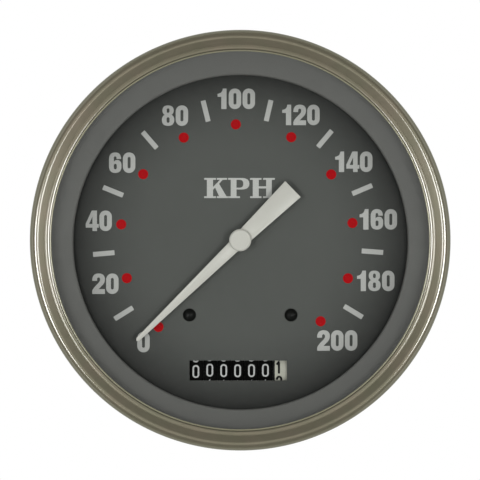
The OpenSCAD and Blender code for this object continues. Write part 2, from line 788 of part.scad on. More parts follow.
module odometer_frame() {
  web_h = 8;
  color("darkgray") difference() {
    union() {
      plate_x(side_left - frame_t, frame_t) odometer_side(false);
      plate_x(side_right, frame_t) odometer_side(true);
      translate([side_left - frame_t, web_y, web_bottom])
        cube([side_right - side_left + 2 * frame_t, frame_t, web_h]);
      translate([side_left - frame_t - foot_w, plate_back, apron_bottom])
        cube([foot_w + frame_t, frame_t, foot_h]);
      translate([side_right, plate_back, apron_bottom]) cube([foot_w + frame_t, frame_t, foot_h]);
    }
    for (x = foot_screw_x) rod_y(x, frame_foot_z, screw_r + fit_gap, plate_back - cut, plate_back + 2 * frame_t);
  }
}

module drum_axle() {
  color("silver") {
    rod_x(drum_y, drum_z, drum_axle_d / 2, side_left - frame_t, side_right + frame_t);
    rod_x(drum_y, drum_z, drum_axle_d / 2 + 0.6, side_left - frame_t - 0.5, side_left - frame_t);
    rod_x(drum_y, drum_z, drum_axle_d / 2 + 0.6, side_right + frame_t, side_right + frame_t + 0.5);
  }
}

module pinion_axle() {
  color("silver") {
    rod_x(pinion_y, pinion_z, pinion_axle_d / 2, side_left - frame_t, side_right + frame_t);
    rod_x(pinion_y, pinion_z, pinion_axle_d / 2 + 0.5, side_left - frame_t - 0.5, side_left - frame_t);
    rod_x(pinion_y, pinion_z, pinion_axle_d / 2 + 0.5, side_right + frame_t, side_right + frame_t + 0.5);
  }
}

// Where a nut is on, stud and nut both have the thread's pitch radius; the free thread has its full radius
engaged_r = stud_d / 2 - 0.2;
nut_front = case_back + washer_t;
nut_back = nut_front + nut_h;
stud_head_t = 1.5;
stud_head_w = 2.6;
module mounting_studs() {
  tip = 0.8;
  r = stud_d / 2;
  stud_back = case_back + stud_len;
  color("silver") for (side = [-1, 1]) translate([side * stud_x, 0, 0]) turned([
    [0, base_back - stud_head_t], [r + stud_head_w, base_back - stud_head_t], [r + stud_head_w, base_back],
    [engaged_r, base_back], [engaged_r, nut_back + open_gap], [r, nut_back + open_gap],
    [r, stud_back - tip], [r - tip, stud_back], [0, stud_back]
  ]);
}

module stud_washers() {
  washer_w = 2.8;
  color("silver") for (side = [-1, 1]) translate([side * stud_x, 0, 0]) difference() {
    rod_y(0, 0, stud_d / 2 + washer_w, case_back, case_back + washer_t);
    rod_y(0, 0, stud_d / 2 + 0.25, case_back - cut, case_back + washer_t + cut);
  }
}

module stud_nuts() {
  color("silver") for (side = [-1, 1]) translate([side * stud_x, 0, 0]) difference() {
    intersection() {
      plate_y(nut_front, nut_h) circle(d = nut_hex / cos(30), $fn = 6);
      turned([
        [0, nut_front], [nut_hex * 0.48, nut_front], [nut_hex * 0.6, nut_front + 0.7],
        [nut_hex * 0.6, nut_back - 0.7], [nut_hex * 0.48, nut_back], [0, nut_back]
      ]);
    }
    rod_y(0, 0, engaged_r + fit_gap, nut_front - cut, nut_back + cut);
  }
}

module rear_screws() {
  head_r = 3;
  head_h = 1.8;
  slot_w = 0.8;
  color("silver") for (a = [0, 120, 240]) at_clock(rear_screw_circle_r, a) difference() {
    turned([
      [0, base_front + 0.3], [rear_screw_r, base_front + 0.3], [rear_screw_r, case_back],
      [head_r, case_back], [head_r, case_back + head_h / 2], [head_r - head_h / 2, case_back + head_h],
      [0, case_back + head_h]
    ]);
    translate([-head_r - cut, case_back + head_h / 2, -slot_w / 2]) cube([2 * (head_r + cut), head_h, slot_w]);
  }
}

lamp_circle_r = (base_r + case_r) / 2 - lamp_inset;
lamp_rise = sqrt(pow(lamp_circle_r, 2) - pow(lamp_x, 2));
holder_r = 6.3;
holder_reach = 8;
holder_front = base_back - holder_reach;
holder_back = case_back + holder_reach;
module lamp_holder() {
  ribs = 12;
  neck_r = 5.2;
  flange_t = 1.4;
  lug_w = 2.4;
  difference() {
    union() {
      turned([
        [0, holder_front], [holder_r, holder_front], [holder_r, case_back], [lamp_flange_d / 2, case_back],
        [lamp_flange_d / 2, case_back + flange_t], [neck_r, case_back + flange_t], [neck_r, holder_back - 0.8],
        [neck_r - 0.8, holder_back], [0, holder_back]
      ]);
      for (turn = [0, 90]) rotate([0, turn, 0])
        translate([-holder_r - 1, base_back - flange_t - 0.2, -lug_w / 2])
          cube([2 * holder_r + 2, flange_t, lug_w]);
      for (i = [0:ribs - 1]) rotate([0, i * 360 / ribs, 0])
        translate([-0.5, case_back + 1.2, 0]) cube([1, holder_reach - 2.2, neck_r + 0.6]);
    }
    rod_y(0, 0, bulb_base_r + fit_gap, holder_front - cut, base_back - 1);
  }
}
bulb_base_r = 4.5;

module lamp_holders() {
  color("black") for (side = [-1, 1]) translate([side * lamp_x, 0, lamp_rise]) lamp_holder();
}

module lamp_bulbs() {
  bulb_r = bulb_d / 2;
  neck = holder_front - 1;
  color("ivory") for (side = [-1, 1]) translate([side * lamp_x, 0, lamp_rise]) turned(concat(
    [[0, neck - 1.8 * bulb_r]],
    [for (i = [1:7]) [bulb_r * sin(20 * i), neck - 0.8 * bulb_r - bulb_r * cos(20 * i)]],
    [[bulb_r * sin(140), neck], [bulb_base_r, neck], [bulb_base_r, base_back - 1.2], [0, base_back - 1.2]]
  ));
}

module lamp_terminals() {
  terminal_t = 0.8;
  terminal_len = 9;
  hole_r = 0.9;
  hole_inset = 3;
  color("goldenrod") for (side = [-1, 1]) difference() {
    translate([side * lamp_x - blade_terminal_w / 2, holder_back, lamp_rise - terminal_t / 2])
      cube([blade_terminal_w, terminal_len, terminal_t]);
    rod_z(side * lamp_x, holder_back + terminal_len - hole_inset, hole_r, lamp_rise - terminal_t, lamp_rise + terminal_t);
  }
}

// The blade is drawn pointing straight up and turned to its rest on the zero stop
module pointer_blade() {
  color("ivory") rotate([0, rest_angle, 0]) plate_y(blade_front, blade_t) difference() {
    polygon([
      [-needle_root_w / 2, hub_cap_d / 2], [-tip_w / 2, needle_len - tip_w / 2], [0, needle_len],
      [tip_w / 2, needle_len - tip_w / 2], [needle_root_w / 2, hub_cap_d / 2],
      [tail_root_w / 2, -hub_cap_d / 2], [tail_end_w / 2, -tail_len], [-tail_end_w / 2, -tail_len],
      [-tail_root_w / 2, -hub_cap_d / 2]
    ]);
    circle(r = spindle_r + fit_gap);
  }
}

module hub_cap() {
  cap_r = hub_cap_d / 2;
  edge = 0.35;
  color("ivory") turned([
    [0, cap_front], [cap_r - edge, cap_front], [cap_r, cap_front + edge], [cap_r, blade_front],
    [spindle_r + fit_gap, blade_front], [spindle_r + fit_gap, cap_front + 0.6], [0, cap_front + 0.6]
  ]);
}

module spindle() {
  color("silver") turned([
    [0, cap_front + 0.6], [spindle_r, cap_front + 0.6], [spindle_r, blade_back],
    [spindle_r + 0.8, blade_back], [spindle_r + 0.8, dial_front - 0.8], [spindle_r, dial_front - 0.8],
    [spindle_r, spindle_tail], [pivot_r, spindle_tail], [pivot_r, spindle_tail + pivot_len],
    [0, spindle_tail + pivot_len]
  ]);
}

module speed_cup() {
  inner_r = magnet_r + air_gap;
  hub_r = 1.8;
  hub_front = spring_back + 0.1;
  color("gainsboro") turned([
    [spindle_r + fit_gap, hub_front], [hub_r, hub_front], [hub_r, cup_front],
    [inner_r + cup_wall, cup_front], [inner_r + cup_wall, cup_back], [inner_r, cup_back],
    [inner_r, cup_front + cup_wall], [spindle_r + fit_gap, cup_front + cup_wall]
  ]);
}

module spring_collet() {
  color("goldenrod") turned([
    [spindle_r + fit_gap, plate_back + end_gap], [collet_r, plate_back + end_gap],
    [collet_r, spring_back], [spindle_r + fit_gap, spring_back]
  ]);
}

module stop_arm() {
  arm_front = dial_back + 0.5;
  arm_t = 1;
  color("silver") rotate([0, stop_arm_angle, 0]) plate_y(arm_front, arm_t) difference() {
    union() {
      circle(r = stop_hub_r);
      translate([-stop_arm_w / 2, 0]) square([stop_arm_w, stop_arm_len]);
    }
    circle(r = spindle_r + fit_gap);
  }
}

module drive_shaft() {
  r = shaft_d / 2;
  end_r = shaft_end_d / 2;
  color("silver") difference() {
    turned([
      [pivot_r + run_gap, magnet_front], [r, magnet_front], [r, shaft_shoulder], [end_r, shaft_shoulder],
      [end_r, shaft_end_back], [0, shaft_end_back], [0, spindle_tail + pivot_len + end_gap],
      [pivot_r + run_gap, spindle_tail + pivot_len + end_gap]
    ]);
    translate([-drive_square / 2, shaft_end_back - drive_square_depth, -drive_square / 2])
      cube([drive_square, drive_square_depth + cut, drive_square]);
  }
}

module drag_magnet() {
  color("dimgray") turned([
    [shaft_d / 2 + fit_gap, magnet_front], [magnet_r, magnet_front], [magnet_r, magnet_back],
    [shaft_d / 2 + fit_gap, magnet_back]
  ]);
}

module input_worm() {
  color("goldenrod") translate([0, cross_y, 0]) rotate([-90, 0, 0])
    worm(input_worm_r, shaft_d / 2 + fit_gap, worm_len + 1, 1);
}

module cross_shaft() {
  reach = 3;
  low = stub_z - worm_len / 2 - 0.4 - reach;
  color("silver") rod_z(cross_x, cross_y, train_shaft_d / 2, low, wheel_t / 2 + 1.2 + reach);
}

// Both worm wheels have the gap between two teeth at the worm's crest
module cross_wheel() {
  color("goldenrod") translate([cross_x, cross_y, -wheel_t / 2]) linear_extrude(wheel_t) difference() {
    rotate(180 + 180 / cross_teeth) gear_shape(cross_teeth, worm_module);
    circle(r = train_shaft_d / 2 + fit_gap);
    for (i = [0:4]) rotate(72 * i) translate([cross_wheel_r * 0.58, 0]) circle(r = cross_wheel_r * 0.2);
  }
}

module cross_worm() {
  color("goldenrod") translate([cross_x, cross_y, stub_z])
    rotate(-90) worm(cross_worm_r, train_shaft_d / 2 + fit_gap, worm_len, -1);
}

module stub_shaft() {
  color("silver") rod_x(stub_y, stub_z, train_shaft_d / 2, stub_lug_x - 0.6, side_right + frame_t + 0.6);
}

module stub_wheel() {
  color("goldenrod") plate_x(stub_wheel_x - wheel_t / 2, wheel_t) translate([stub_y, stub_z]) difference() {
    rotate(180 / stub_teeth) gear_shape(stub_teeth, worm_module);
    circle(r = train_shaft_d / 2 + fit_gap);
  }
}

module stub_gear() {
  color("ivory") plate_x(spur_x, wheel_t) translate([stub_y, stub_z]) difference() {
    rotate(spur_angle + 180) gear_shape(spur_teeth, spur_module);
    circle(r = train_shaft_d / 2 + fit_gap);
  }
}

// The locking flange on a drum's left side: a plain rim with a pair of carry teeth and a notch between them
module carry_flange_shape(turn) {
  tooth_w = 0.9;
  notch_w = 1.5;
  rotate(turn) difference() {
    union() {
      circle(r = lock_r);
      for (side = [-1, 1]) translate([lock_r - 1, side * (notch_w + tooth_w) / 2 - tooth_w / 2])
        square([drum_r - 0.05 - lock_r + 1, tooth_w]);
    }
    translate([lock_r - 1.2, -notch_w / 2]) square([3, notch_w]);
  }
}

module drum_gear_shape() {
  rotate(pinion_angle + 180 / drum_teeth) gear_shape(drum_teeth, carry_module, 0.55, 0.95, 0.1);
}

// One black drum, with k counting from 1 for single units up to 6 at the far left
module number_drum(k) {
  x = tenths_x - k * drum_pitch;
  left = x - band_w / 2;
  right = x + band_w / 2;
  color("black") difference() {
    union() {
      rod_x(drum_y, drum_z, drum_r, left, right);
      plate_x(right, flange_w) translate([drum_y, drum_z]) drum_gear_shape();
      plate_x(left - flange_w, flange_w) translate([drum_y, drum_z]) carry_flange_shape(drum_carry_turn);
    }
    rod_x(drum_y, drum_z, drum_axle_d / 2 + run_gap, left - flange_w - cut, right + flange_w + cut);
  }
}

module tenths_drum() {
  hub_r = drum_axle_d / 2 + 1.3;
  color("ivory") difference() {
    union() {
      rod_x(drum_y, drum_z, drum_r, tenths_left, tenths_right);
      plate_x(tenths_left - flange_w, flange_w) translate([drum_y, drum_z]) carry_flange_shape(tenths_carry_turn);
      rod_x(drum_y, drum_z, hub_r, tenths_right, spur_x);
      plate_x(spur_x, wheel_t) translate([drum_y, drum_z]) rotate(spur_angle + 180 / spur_teeth)
        gear_shape(spur_teeth, spur_module);
    }
    rod_x(drum_y, drum_z, drum_axle_d / 2 + run_gap, tenths_left - flange_w - cut, spur_x + wheel_t + cut);
  }
}

// A transfer pinion bridges the space between two drums: all its teeth run in the left drum's flange, and
// every second one reaches on over the right drum's locking flange
module carry_pinion(k) {
  left = tenths_x - k * drum_pitch + band_w / 2 + 0.1;
  right = left + 2 * flange_w + end_gap - 0.2;
  middle = left - 0.1 + flange_w + end_gap / 2;
  short_r = pinion_pitch_r - carry_module * 0.95;
  color("ivory") difference() {
    union() {
      plate_x(left, middle - left) translate([pinion_y, pinion_z]) rotate(pinion_angle + 180)
        gear_shape(pinion_teeth, carry_module, 0.75, 0.95, 0.1);
      plate_x(middle, right - middle) translate([pinion_y, pinion_z]) rotate(pinion_angle + 180) difference() {
        gear_shape(pinion_teeth, carry_module, 0.75, 0.95, 0.1);
        for (i = [0:2:pinion_teeth - 1]) rotate(i * 360 / pinion_teeth)
          translate([short_r, -pinion_pitch_r / 2]) square(pinion_pitch_r);
      }
    }
    rod_x(pinion_y, pinion_z, pinion_axle_d / 2 + run_gap, left - cut, right + cut);
  }
}

bezel();
glass_lens();
lens_seal();
trim_ring();
dial_plate();
dial_screws();
dial_posts();
case_can();
front_plate();
spindle_bush();
stop_posts();
hairspring_stud();
hairspring();
middle_plate();
field_cup();
shaft_bushes();
pillars();
plate_screws();
base_frame();
cable_nipple();
cross_shaft_bracket();
odometer_frame();
drum_axle();
pinion_axle();
mounting_studs();
stud_washers();
stud_nuts();
rear_screws();
lamp_holders();
lamp_bulbs();
lamp_terminals();
pointer_blade();
hub_cap();
spindle();
speed_cup();
spring_collet();
stop_arm();
drive_shaft();
drag_magnet();
input_worm();
cross_shaft();
cross_wheel();
cross_worm();
stub_shaft();
stub_wheel();
stub_gear();
tenths_drum();
for (k = [1:black_drums]) number_drum(k);
for (k = [1:black_drums]) carry_pinion(k);
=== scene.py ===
"""The looks of a round cable-driven speedometer, built around its packed construction."""

import math

import bmesh
import bpy
from bpy.props import FloatProperty, FloatVectorProperty, PointerProperty
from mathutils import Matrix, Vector
from mathutils.geometry import tessellate_polygon


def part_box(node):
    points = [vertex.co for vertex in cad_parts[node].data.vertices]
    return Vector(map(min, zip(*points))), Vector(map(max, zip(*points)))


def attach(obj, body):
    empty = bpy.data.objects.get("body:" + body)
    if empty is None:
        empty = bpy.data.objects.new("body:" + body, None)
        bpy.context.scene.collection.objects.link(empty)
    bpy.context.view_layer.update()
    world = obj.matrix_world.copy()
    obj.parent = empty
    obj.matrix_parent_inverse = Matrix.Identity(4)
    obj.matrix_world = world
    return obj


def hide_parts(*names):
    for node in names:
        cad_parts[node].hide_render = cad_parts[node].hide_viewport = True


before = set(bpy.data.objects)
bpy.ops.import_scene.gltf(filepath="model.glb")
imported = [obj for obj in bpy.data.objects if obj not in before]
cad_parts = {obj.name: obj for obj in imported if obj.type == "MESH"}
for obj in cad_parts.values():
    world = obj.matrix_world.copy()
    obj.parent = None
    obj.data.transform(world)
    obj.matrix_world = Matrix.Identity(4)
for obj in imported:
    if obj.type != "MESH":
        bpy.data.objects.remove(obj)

bl_info = {
    "name": "Round Speedometer",
    "version": (1, 0, 0),
    "blender": (4, 5, 0),
    "location": "3D View > Sidebar > Speedometer",
    "description": "Gives a packed speedometer its print, threads, finishes, lamps and camera",
    "category": "Object",
}

MM = 0.001
DIAL_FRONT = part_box("dial_plate")[0].y
DIAL_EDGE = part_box("dial_plate")[1].x
DRUM_LOW, DRUM_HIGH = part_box("drum_1")
DRUM_RADIUS = (DRUM_HIGH.z - DRUM_LOW.z) / 2
DRUM_Y = (DRUM_LOW.y + DRUM_HIGH.y) / 2
DRUM_Z = (DRUM_LOW.z + DRUM_HIGH.z) / 2
SLOT_OF = {name: node.data.materials[0].name.split(".")[0] for name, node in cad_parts.items()}

# How bright the white drum's bare plastic is, as a share of its painted band
BARE_PLASTIC = 0.006

# On the drums: the least height of the figures' ink, and the turn from one figure to the next
INK = 0.01 * MM
FIGURE_STEP = math.radians(36)

# Steps of the bezel around its axis
BEZEL_STEPS = 288

# Points of an outline that are nearer than this are one
TOUCHING = 1e-6

# How far the trim ring covers the dial's edge
RING_OVERLAP = 2.2 * MM

# A thread's depth as a share of its pitch, its steps in a turn, and how far it stops short of its end
THREAD_DEPTH = 0.6
THREAD_STEPS = 32
THREAD_END = 0.3 * MM

# The lamps, in metres: their distance from the dial, width and height
LAMP_DISTANCE = 0.7
SIDE_LAMP_SIZE = (0.21, 0.18)
LOW_LAMP_SIZE = (0.5, 0.2)

# Sideways and upward place of the camera off the pointer's axis
CAMERA_OFFSET = (-0.06 * MM, 0.06 * MM)

# Sockets whose names a node uses twice: those of Map Range, and those of Mix for colours
VALUE, FROM_LOW, FROM_HIGH, TO_LOW, TO_HIGH = range(5)
FACTOR, FIRST, SECOND, MIXED = 0, 6, 7, 2


# Node trees


class Out:
    """An output socket; arithmetic on it adds Math nodes."""

    def __init__(self, tree, socket):
        self.tree, self.socket = tree, socket

    def __add__(self, other):
        return self.tree.maths("ADD", self, other)

    __radd__ = __add__

    def __sub__(self, other):
        return self.tree.maths("SUBTRACT", self, other)

    def __rsub__(self, other):
        return self.tree.maths("SUBTRACT", other, self)

    def __mul__(self, other):
        return self.tree.maths("MULTIPLY", self, other)

    __rmul__ = __mul__

    def __pow__(self, other):
        return self.tree.maths("POWER", self, other)

    def __rpow__(self, other):
        return self.tree.maths("POWER", other, self)

    def larger(self, other):
        return self.tree.maths("MAXIMUM", self, other)

    def smaller(self, other):
        return self.tree.maths("MINIMUM", self, other)


class Tree:
    """A node tree, to which nodes are added by type, settings and inputs."""

    def __init__(self, owner):
        self.nodes, self.links = owner.nodes, owner.links

    def node(self, kind, settings=None, inputs=None):
        """A new node. Its settings are made before its inputs get their values and links."""
        node = self.nodes.new(kind)
        for name, value in (settings or {}).items():
            setattr(node, name, value)
        for name, value in (inputs or {}).items():
            if isinstance(value, Out):
                self.links.new(value.socket, node.inputs[name])
            else:
                node.inputs[name].default_value = value
        return node

    def add(self, kind, settings=None, inputs=None, output=0):
        """One output of a new node."""
        return Out(self, self.node(kind, settings, inputs).outputs[output])

    def all_outputs(self, kind, inputs=None):
        """Every output of a new node, by name."""
        return {socket.name: Out(self, socket) for socket in self.node(kind, None, inputs).outputs}

    def maths(self, operation, *values):
        return self.add("ShaderNodeMath", {"operation": operation}, dict(enumerate(values)))

    def split(self, vector):
        """The three parts of a vector."""
        return self.all_outputs("ShaderNodeSeparateXYZ", {0: vector}).values()


class Paint(Tree):
    """A new material whose textures lie in the row frame."""

    def __init__(self, name):
        self.material = bpy.data.materials.new(name)
        self.material.use_nodes = True
        self.material.node_tree.nodes.clear()
        super().__init__(self.material.node_tree)
        self.place = self.add("ShaderNodeTexCoord", output="Object")

    def noise(self, size, detail=2.0, roughness=0.5, where=None):
        """Noise from 0 to 1 whose patches are about size metres across."""
        return self.add("ShaderNodeTexNoise", None, {
            "Vector": where or self.place, "Scale": 1 / size, "Detail": detail, "Roughness": roughness,
        })

    def spread(self, value, low, high):
        """Maps the middle part of a noise value to low ... high."""
        inputs = {VALUE: value, FROM_LOW: 0.3, FROM_HIGH: 0.7, TO_LOW: low, TO_HIGH: high}
        return self.add("ShaderNodeMapRange", {"clamp": True}, inputs)

    def mix(self, factor, first, second):
        inputs = {FACTOR: factor, FIRST: first, SECOND: second}
        return self.add("ShaderNodeMix", {"data_type": "RGBA"}, inputs, MIXED)

    def bump(self, height, depth, strength=1.0):
        return self.add("ShaderNodeBump", None, {"Height": height, "Distance": depth, "Strength": strength})

    def around(self, radial, along, turn):
        """Coordinates for marks left by turning: fine across the rings, long around them."""
        x, y, z = self.split(self.place)
        across = self.maths("SQRT", x * x + z * z) * radial
        angle = self.maths("ARCTAN2", x, z) * turn
        return self.add("ShaderNodeCombineXYZ", None, {0: across, 1: y * along, 2: angle})

    def rising(self, start, end):
        """A steepening rise from 0 at the radius start to 1 at the radius end, about the Y axis."""
        x, _, z = self.split(self.place)
        inputs = {VALUE: self.maths("SQRT", x * x + z * z), FROM_LOW: start, FROM_HIGH: end}
        return self.add("ShaderNodeMapRange", {"clamp": True}, inputs) ** 2

    def open_air(self, reach):
        """From 0 in a crevice narrower than reach to 1 on an open face, for painting shade into crevices."""
        return self.add("ShaderNodeAmbientOcclusion", {"samples": 16}, {"Distance": reach}, output="AO")

    def surface(self, **inputs):
        names = {name.replace("_", " "): value for name, value in inputs.items()}
        return self.add("ShaderNodeBsdfPrincipled", None, names)

    def done(self, shader):
        self.node("ShaderNodeOutputMaterial", None, {"Surface": shader})
        return self.material


def shade(colour, factor):
    return tuple(min(1.0, c * factor) for c in colour[:3]) + (1.0,)


def painted(name, colour, roughness, mottle, grain, peel=0.004 * MM, coat=0.0, shine=0.25, edge=None):
    """Paint or lacquer with faint uneven patches, fine grain and a slightly rippled skin.

    Where edge gives two radii and a share, it paints shade that darkens outward from the first radius to that
    share at the second."""
    p = Paint(name)
    patches = p.spread(p.noise(9 * MM, 3), 0, 1)
    base = p.mix(patches, shade(colour, 1 - mottle), shade(colour, 1 + mottle))
    speckle = p.spread(p.noise(0.45 * MM, 2, 0.6), 0, 1)
    grains = p.mix(patches, shade(colour, 1 + grain * 2), shade(colour, 1 - grain * 3))
    base = p.mix(speckle * 0.5, base, grains)
    # Painted shade towards the rim, standing in for the shadow of the ring and the bezel
    if edge:
        start, end, share = edge
        base = p.mix(p.rising(start, end), base, shade(colour, share))
    rough = p.spread(p.noise(2.5 * MM, 3), roughness - 0.05, roughness + 0.06)
    normal = p.bump(p.noise(0.35 * MM, 2), peel)
    return p.done(p.surface(
        Base_Color=base, Roughness=rough, Normal=normal, Specular_IOR_Level=shine,
        Coat_Weight=coat, Coat_Roughness=0.2,
    ))


def metal(name, colour, roughness, mottle=0.04, scratch=0.25, tint=None):
    """Bare or plated metal with patches of tarnish, hairline scratches and painted shade in its crevices."""
    p = Paint(name)
    patches = p.spread(p.noise(14 * MM, 5, 0.65), 0, 1)
    base = p.mix(patches, shade(colour, 1 - mottle), tint + (1.0,) if tint else shade(colour, 1 + mottle))
    # Painted shade: crevices darker where ambient occlusion finds them
    base = p.mix(p.open_air(1.2 * MM) ** 1.5, shade(colour, 0.3), base)
    marks = p.spread(p.noise(1.0, 3, 0.7, where=p.around(3000, 3000, 9)), 0, 1)
    rough = p.spread(p.noise(1.4 * MM, 4, 0.6), roughness - 0.04, roughness + 0.06) + marks * 0.03
    normal = p.bump(marks, 0.001 * MM, scratch)
    return p.done(p.surface(Base_Color=base, Roughness=rough, Metallic=1.0, Normal=normal))


def moulded(name, colour, roughness, peel=0.006 * MM, clear=0.0, shine=0.5, band=None):
    """Moulded plastic or rubber with a fine even skin, and a painted band right of band if it is given."""
    p = Paint(name)
    base = p.mix(p.spread(p.noise(5 * MM, 3), 0, 1), shade(colour, 0.93), shade(colour, 1.07))
    if band is not None:
        x, _, _ = p.split(p.place)
        base = p.mix(p.maths("GREATER_THAN", x, band), shade(colour, BARE_PLASTIC), base)
    rough = p.spread(p.noise(1.1 * MM, 3), roughness - 0.05, roughness + 0.07)
    normal = p.bump(p.noise(0.25 * MM, 2), peel)
    return p.done(p.surface(
        Base_Color=base, Roughness=rough, Normal=normal, Specular_IOR_Level=shine, Subsurface_Weight=clear,
    ))


def satin_bezel(name, colour, groove, bead, crest, outer):
    """Satin plated olive grey steel with turning marks, and a painted highlight along its lip.

    Its groove and its flank are painted darker, as shade, and its flank, groove and lip and the slopes that
    face the band are duller. The radii are those of the groove, the tops of the bead and the crown, and the
    outside."""
    p = Paint(name)
    band = 2 * bead - groove
    # The flank: painted shade in the base colour, and a duller coat and less metal
    flank = p.rising(outer - 1.6 * MM, outer - 0.5 * MM)
    # The lip: a painted highlight in the base colour, and a duller coat
    lip_wear_and_highlight = p.rising(groove, groove - 0.35 * MM)
    # The groove: painted shade in the base colour, and a duller coat
    groove_shade = p.rising(groove - 0.25 * MM, groove) * p.rising(groove + 0.25 * MM, groove)
    bead_slope = p.rising(bead + 0.05 * MM, bead + 0.3 * MM) * p.rising(band + 0.1 * MM, band - 0.1 * MM)
    crown_slope = p.rising(crest - 0.75 * MM, crest - 0.4 * MM) * p.rising(crest, crest - 0.25 * MM)
    slopes = bead_slope + crown_slope * 0.6

    streaks = p.noise(1.0, 4, 0.65, where=p.around(5200, 5200, 5))
    patches = p.spread(p.noise(11 * MM, 4, 0.6), 0, 1)
    brown = (colour[0] * 1.12, colour[1] * 0.98, colour[2] * 1.06, 1.0)
    base = p.mix(patches, shade(colour, 0.93), brown)
    base = p.mix(p.spread(streaks, 0.0, 0.4), base, shade(colour, 0.72))
    # Painted shade on the flank and in the groove, and a painted highlight along the lip
    for mask, share in ((flank, 0.68), (lip_wear_and_highlight, 1.6), (groove_shade, 0.3)):
        base = p.mix(mask, base, shade(colour, share))
    rough = p.spread(p.noise(1.8 * MM, 4, 0.6), 0.3, 0.38)
    normal = p.bump(p.spread(streaks, 0, 1), 0.004 * MM, 0.6)
    return p.done(p.surface(
        Base_Color=base, Roughness=rough, Metallic=0.55 - flank * 0.35 - slopes * 0.3, Normal=normal,
        Specular_IOR_Level=0.15, Coat_IOR=1.95, Coat_Roughness=0.12,
        Coat_Weight=1 - flank * 0.92 - groove_shade * 0.6 - lip_wear_and_highlight * 0.55 - slopes * 0.85,
    ))


def clear_glass(name):
    """Thin clear glass: straight through, with the reflection of its surface."""
    p = Paint(name)
    smear = p.spread(p.noise(16 * MM, 4, 0.6), 0.0, 0.003)
    gloss = p.add("ShaderNodeBsdfGlossy", None, {"Color": (1, 1, 1, 1), "Roughness": 0.02})
    through = p.add("ShaderNodeBsdfTransparent", None, {"Color": (0.985, 0.99, 0.985, 1)})
    fresnel = p.add("ShaderNodeFresnel", None, {"IOR": 1.3})
    body = p.add("ShaderNodeMixShader", None, {0: fresnel, 1: through, 2: gloss})
    film = p.add("ShaderNodeBsdfDiffuse", None, {"Color": (0.5, 0.5, 0.48, 1)})
    return p.done(p.add("ShaderNodeMixShader", None, {0: smear, 1: body, 2: film}))


# Meshes


def placed(name, data):
    """A new object in the scene."""
    obj = bpy.data.objects.new(name, data)
    bpy.context.scene.collection.objects.link(obj)
    return obj


def dress(obj, material):
    obj.data.materials.clear()
    obj.data.materials.append(material)


def new_mesh(name, verts, faces):
    mesh = bpy.data.meshes.new(name)
    mesh.from_pydata(verts, [], faces)
    return mesh


def healed(mesh, gap=1e-7, flatten=False):
    """Merges the doubles of a closed mesh, dissolves its flat edges if asked, and turns its faces outward."""
    bm = bmesh.new()
    bm.from_mesh(mesh)
    bmesh.ops.remove_doubles(bm, verts=bm.verts, dist=gap)
    if flatten:
        bmesh.ops.dissolve_limit(bm, angle_limit=math.radians(1), verts=bm.verts, edges=bm.edges)
    bmesh.ops.recalc_face_normals(bm, faces=bm.faces)
    bm.to_mesh(mesh)
    bm.free()
    return mesh


def add_piece(name, mesh, material, body="root", crease=35, stands_for=()):
    """A new piece on a body, smooth up to the crease angle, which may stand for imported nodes."""
    mesh.shade_smooth()
    mesh.set_sharp_from_angle(angle=math.radians(crease))
    obj = placed(name, mesh)
    dress(obj, material)
    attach(obj, body)
    if stands_for:
        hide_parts(*stands_for)


def finish_nodes(slot, material):
    """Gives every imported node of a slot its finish."""
    for name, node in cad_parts.items():
        if SLOT_OF[name] == slot:
            dress(node, material)


def revolved(section, segments):
    """Verts and faces of a closed section of (radius, y) turned about the Y axis."""
    verts, faces, count = [], [], len(section)
    for i in range(segments):
        a = 2 * math.pi * i / segments
        verts += [(r * math.sin(a), y, r * math.cos(a)) for r, y in section]
    for i in range(segments):
        here, there = i * count, (i + 1) % segments * count
        for j in range(count):
            k = (j + 1) % count
            faces.append((here + j, here + k, there + k, there + j))
    return verts, faces


def softened(node, width, material, body):
    """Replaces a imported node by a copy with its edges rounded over."""
    name = node + "_edges"
    obj = placed(name, healed(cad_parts[node].data.copy(), gap=2e-6, flatten=True))
    bevel = obj.modifiers.new("Edges", "BEVEL")
    bevel.width, bevel.segments = width, 2
    bevel.limit_method, bevel.angle_limit = "ANGLE", math.radians(40)
    mesh = evaluated_mesh(obj)
    bpy.data.objects.remove(obj)
    mesh.name = name
    add_piece(name, mesh, material, body, stands_for=(node,))


def evaluated_mesh(obj):
    bpy.context.view_layer.update()
    depsgraph = bpy.context.evaluated_depsgraph_get()
    return bpy.data.meshes.new_from_object(obj.evaluated_get(depsgraph))


# Print


def traced(path, steps):
    """Points along a short text of M, L and C commands."""
    points, words, i = [], path.split(), 0
    while i < len(words):
        kind, size = words[i], {"M": 2, "L": 2, "C": 6}[words[i]]
        n = [float(w) for w in words[i + 1 : i + 1 + size]]
        i += 1 + size
        if kind == "C":
            (x0, y0), (x1, y1, x2, y2, x3, y3) = points[-1], n
            for s in range(1, steps + 1):
                t = s / steps
                u = 1 - t
                points.append((
                    u**3 * x0 + 3 * u * u * t * x1 + 3 * u * t * t * x2 + t**3 * x3,
                    u**3 * y0 + 3 * u * u * t * y1 + 3 * u * t * t * y2 + t**3 * y3,
                ))
        else:
            points.append((n[0], n[1]))
    return points


def outline(path):
    """Points of a closed outline, with the first one only once."""
    points = traced(path, 8)
    return points[:-1] if math.dist(points[0], points[-1]) < TOUCHING else points


def loop(x, y, w, h, r):
    """A rounded box about x, y as a path. Its curves' handles stay k short of the corners."""
    a, b, k = w / 2, h / 2, 0.45 * r
    return (
        f"M {x - a} {y} L {x - a} {y - b + r} C {x - a} {y - b + k} {x - a + k} {y - b} {x - a + r} {y - b} "
        f"L {x + a - r} {y - b} C {x + a - k} {y - b} {x + a} {y - b + k} {x + a} {y - b + r} "
        f"L {x + a} {y + b - r} C {x + a} {y + b - k} {x + a - k} {y + b} {x + a - r} {y + b} "
        f"L {x - a + r} {y + b} C {x - a + k} {y + b} {x - a} {y + b - k} {x - a} {y + b - r}"
    )


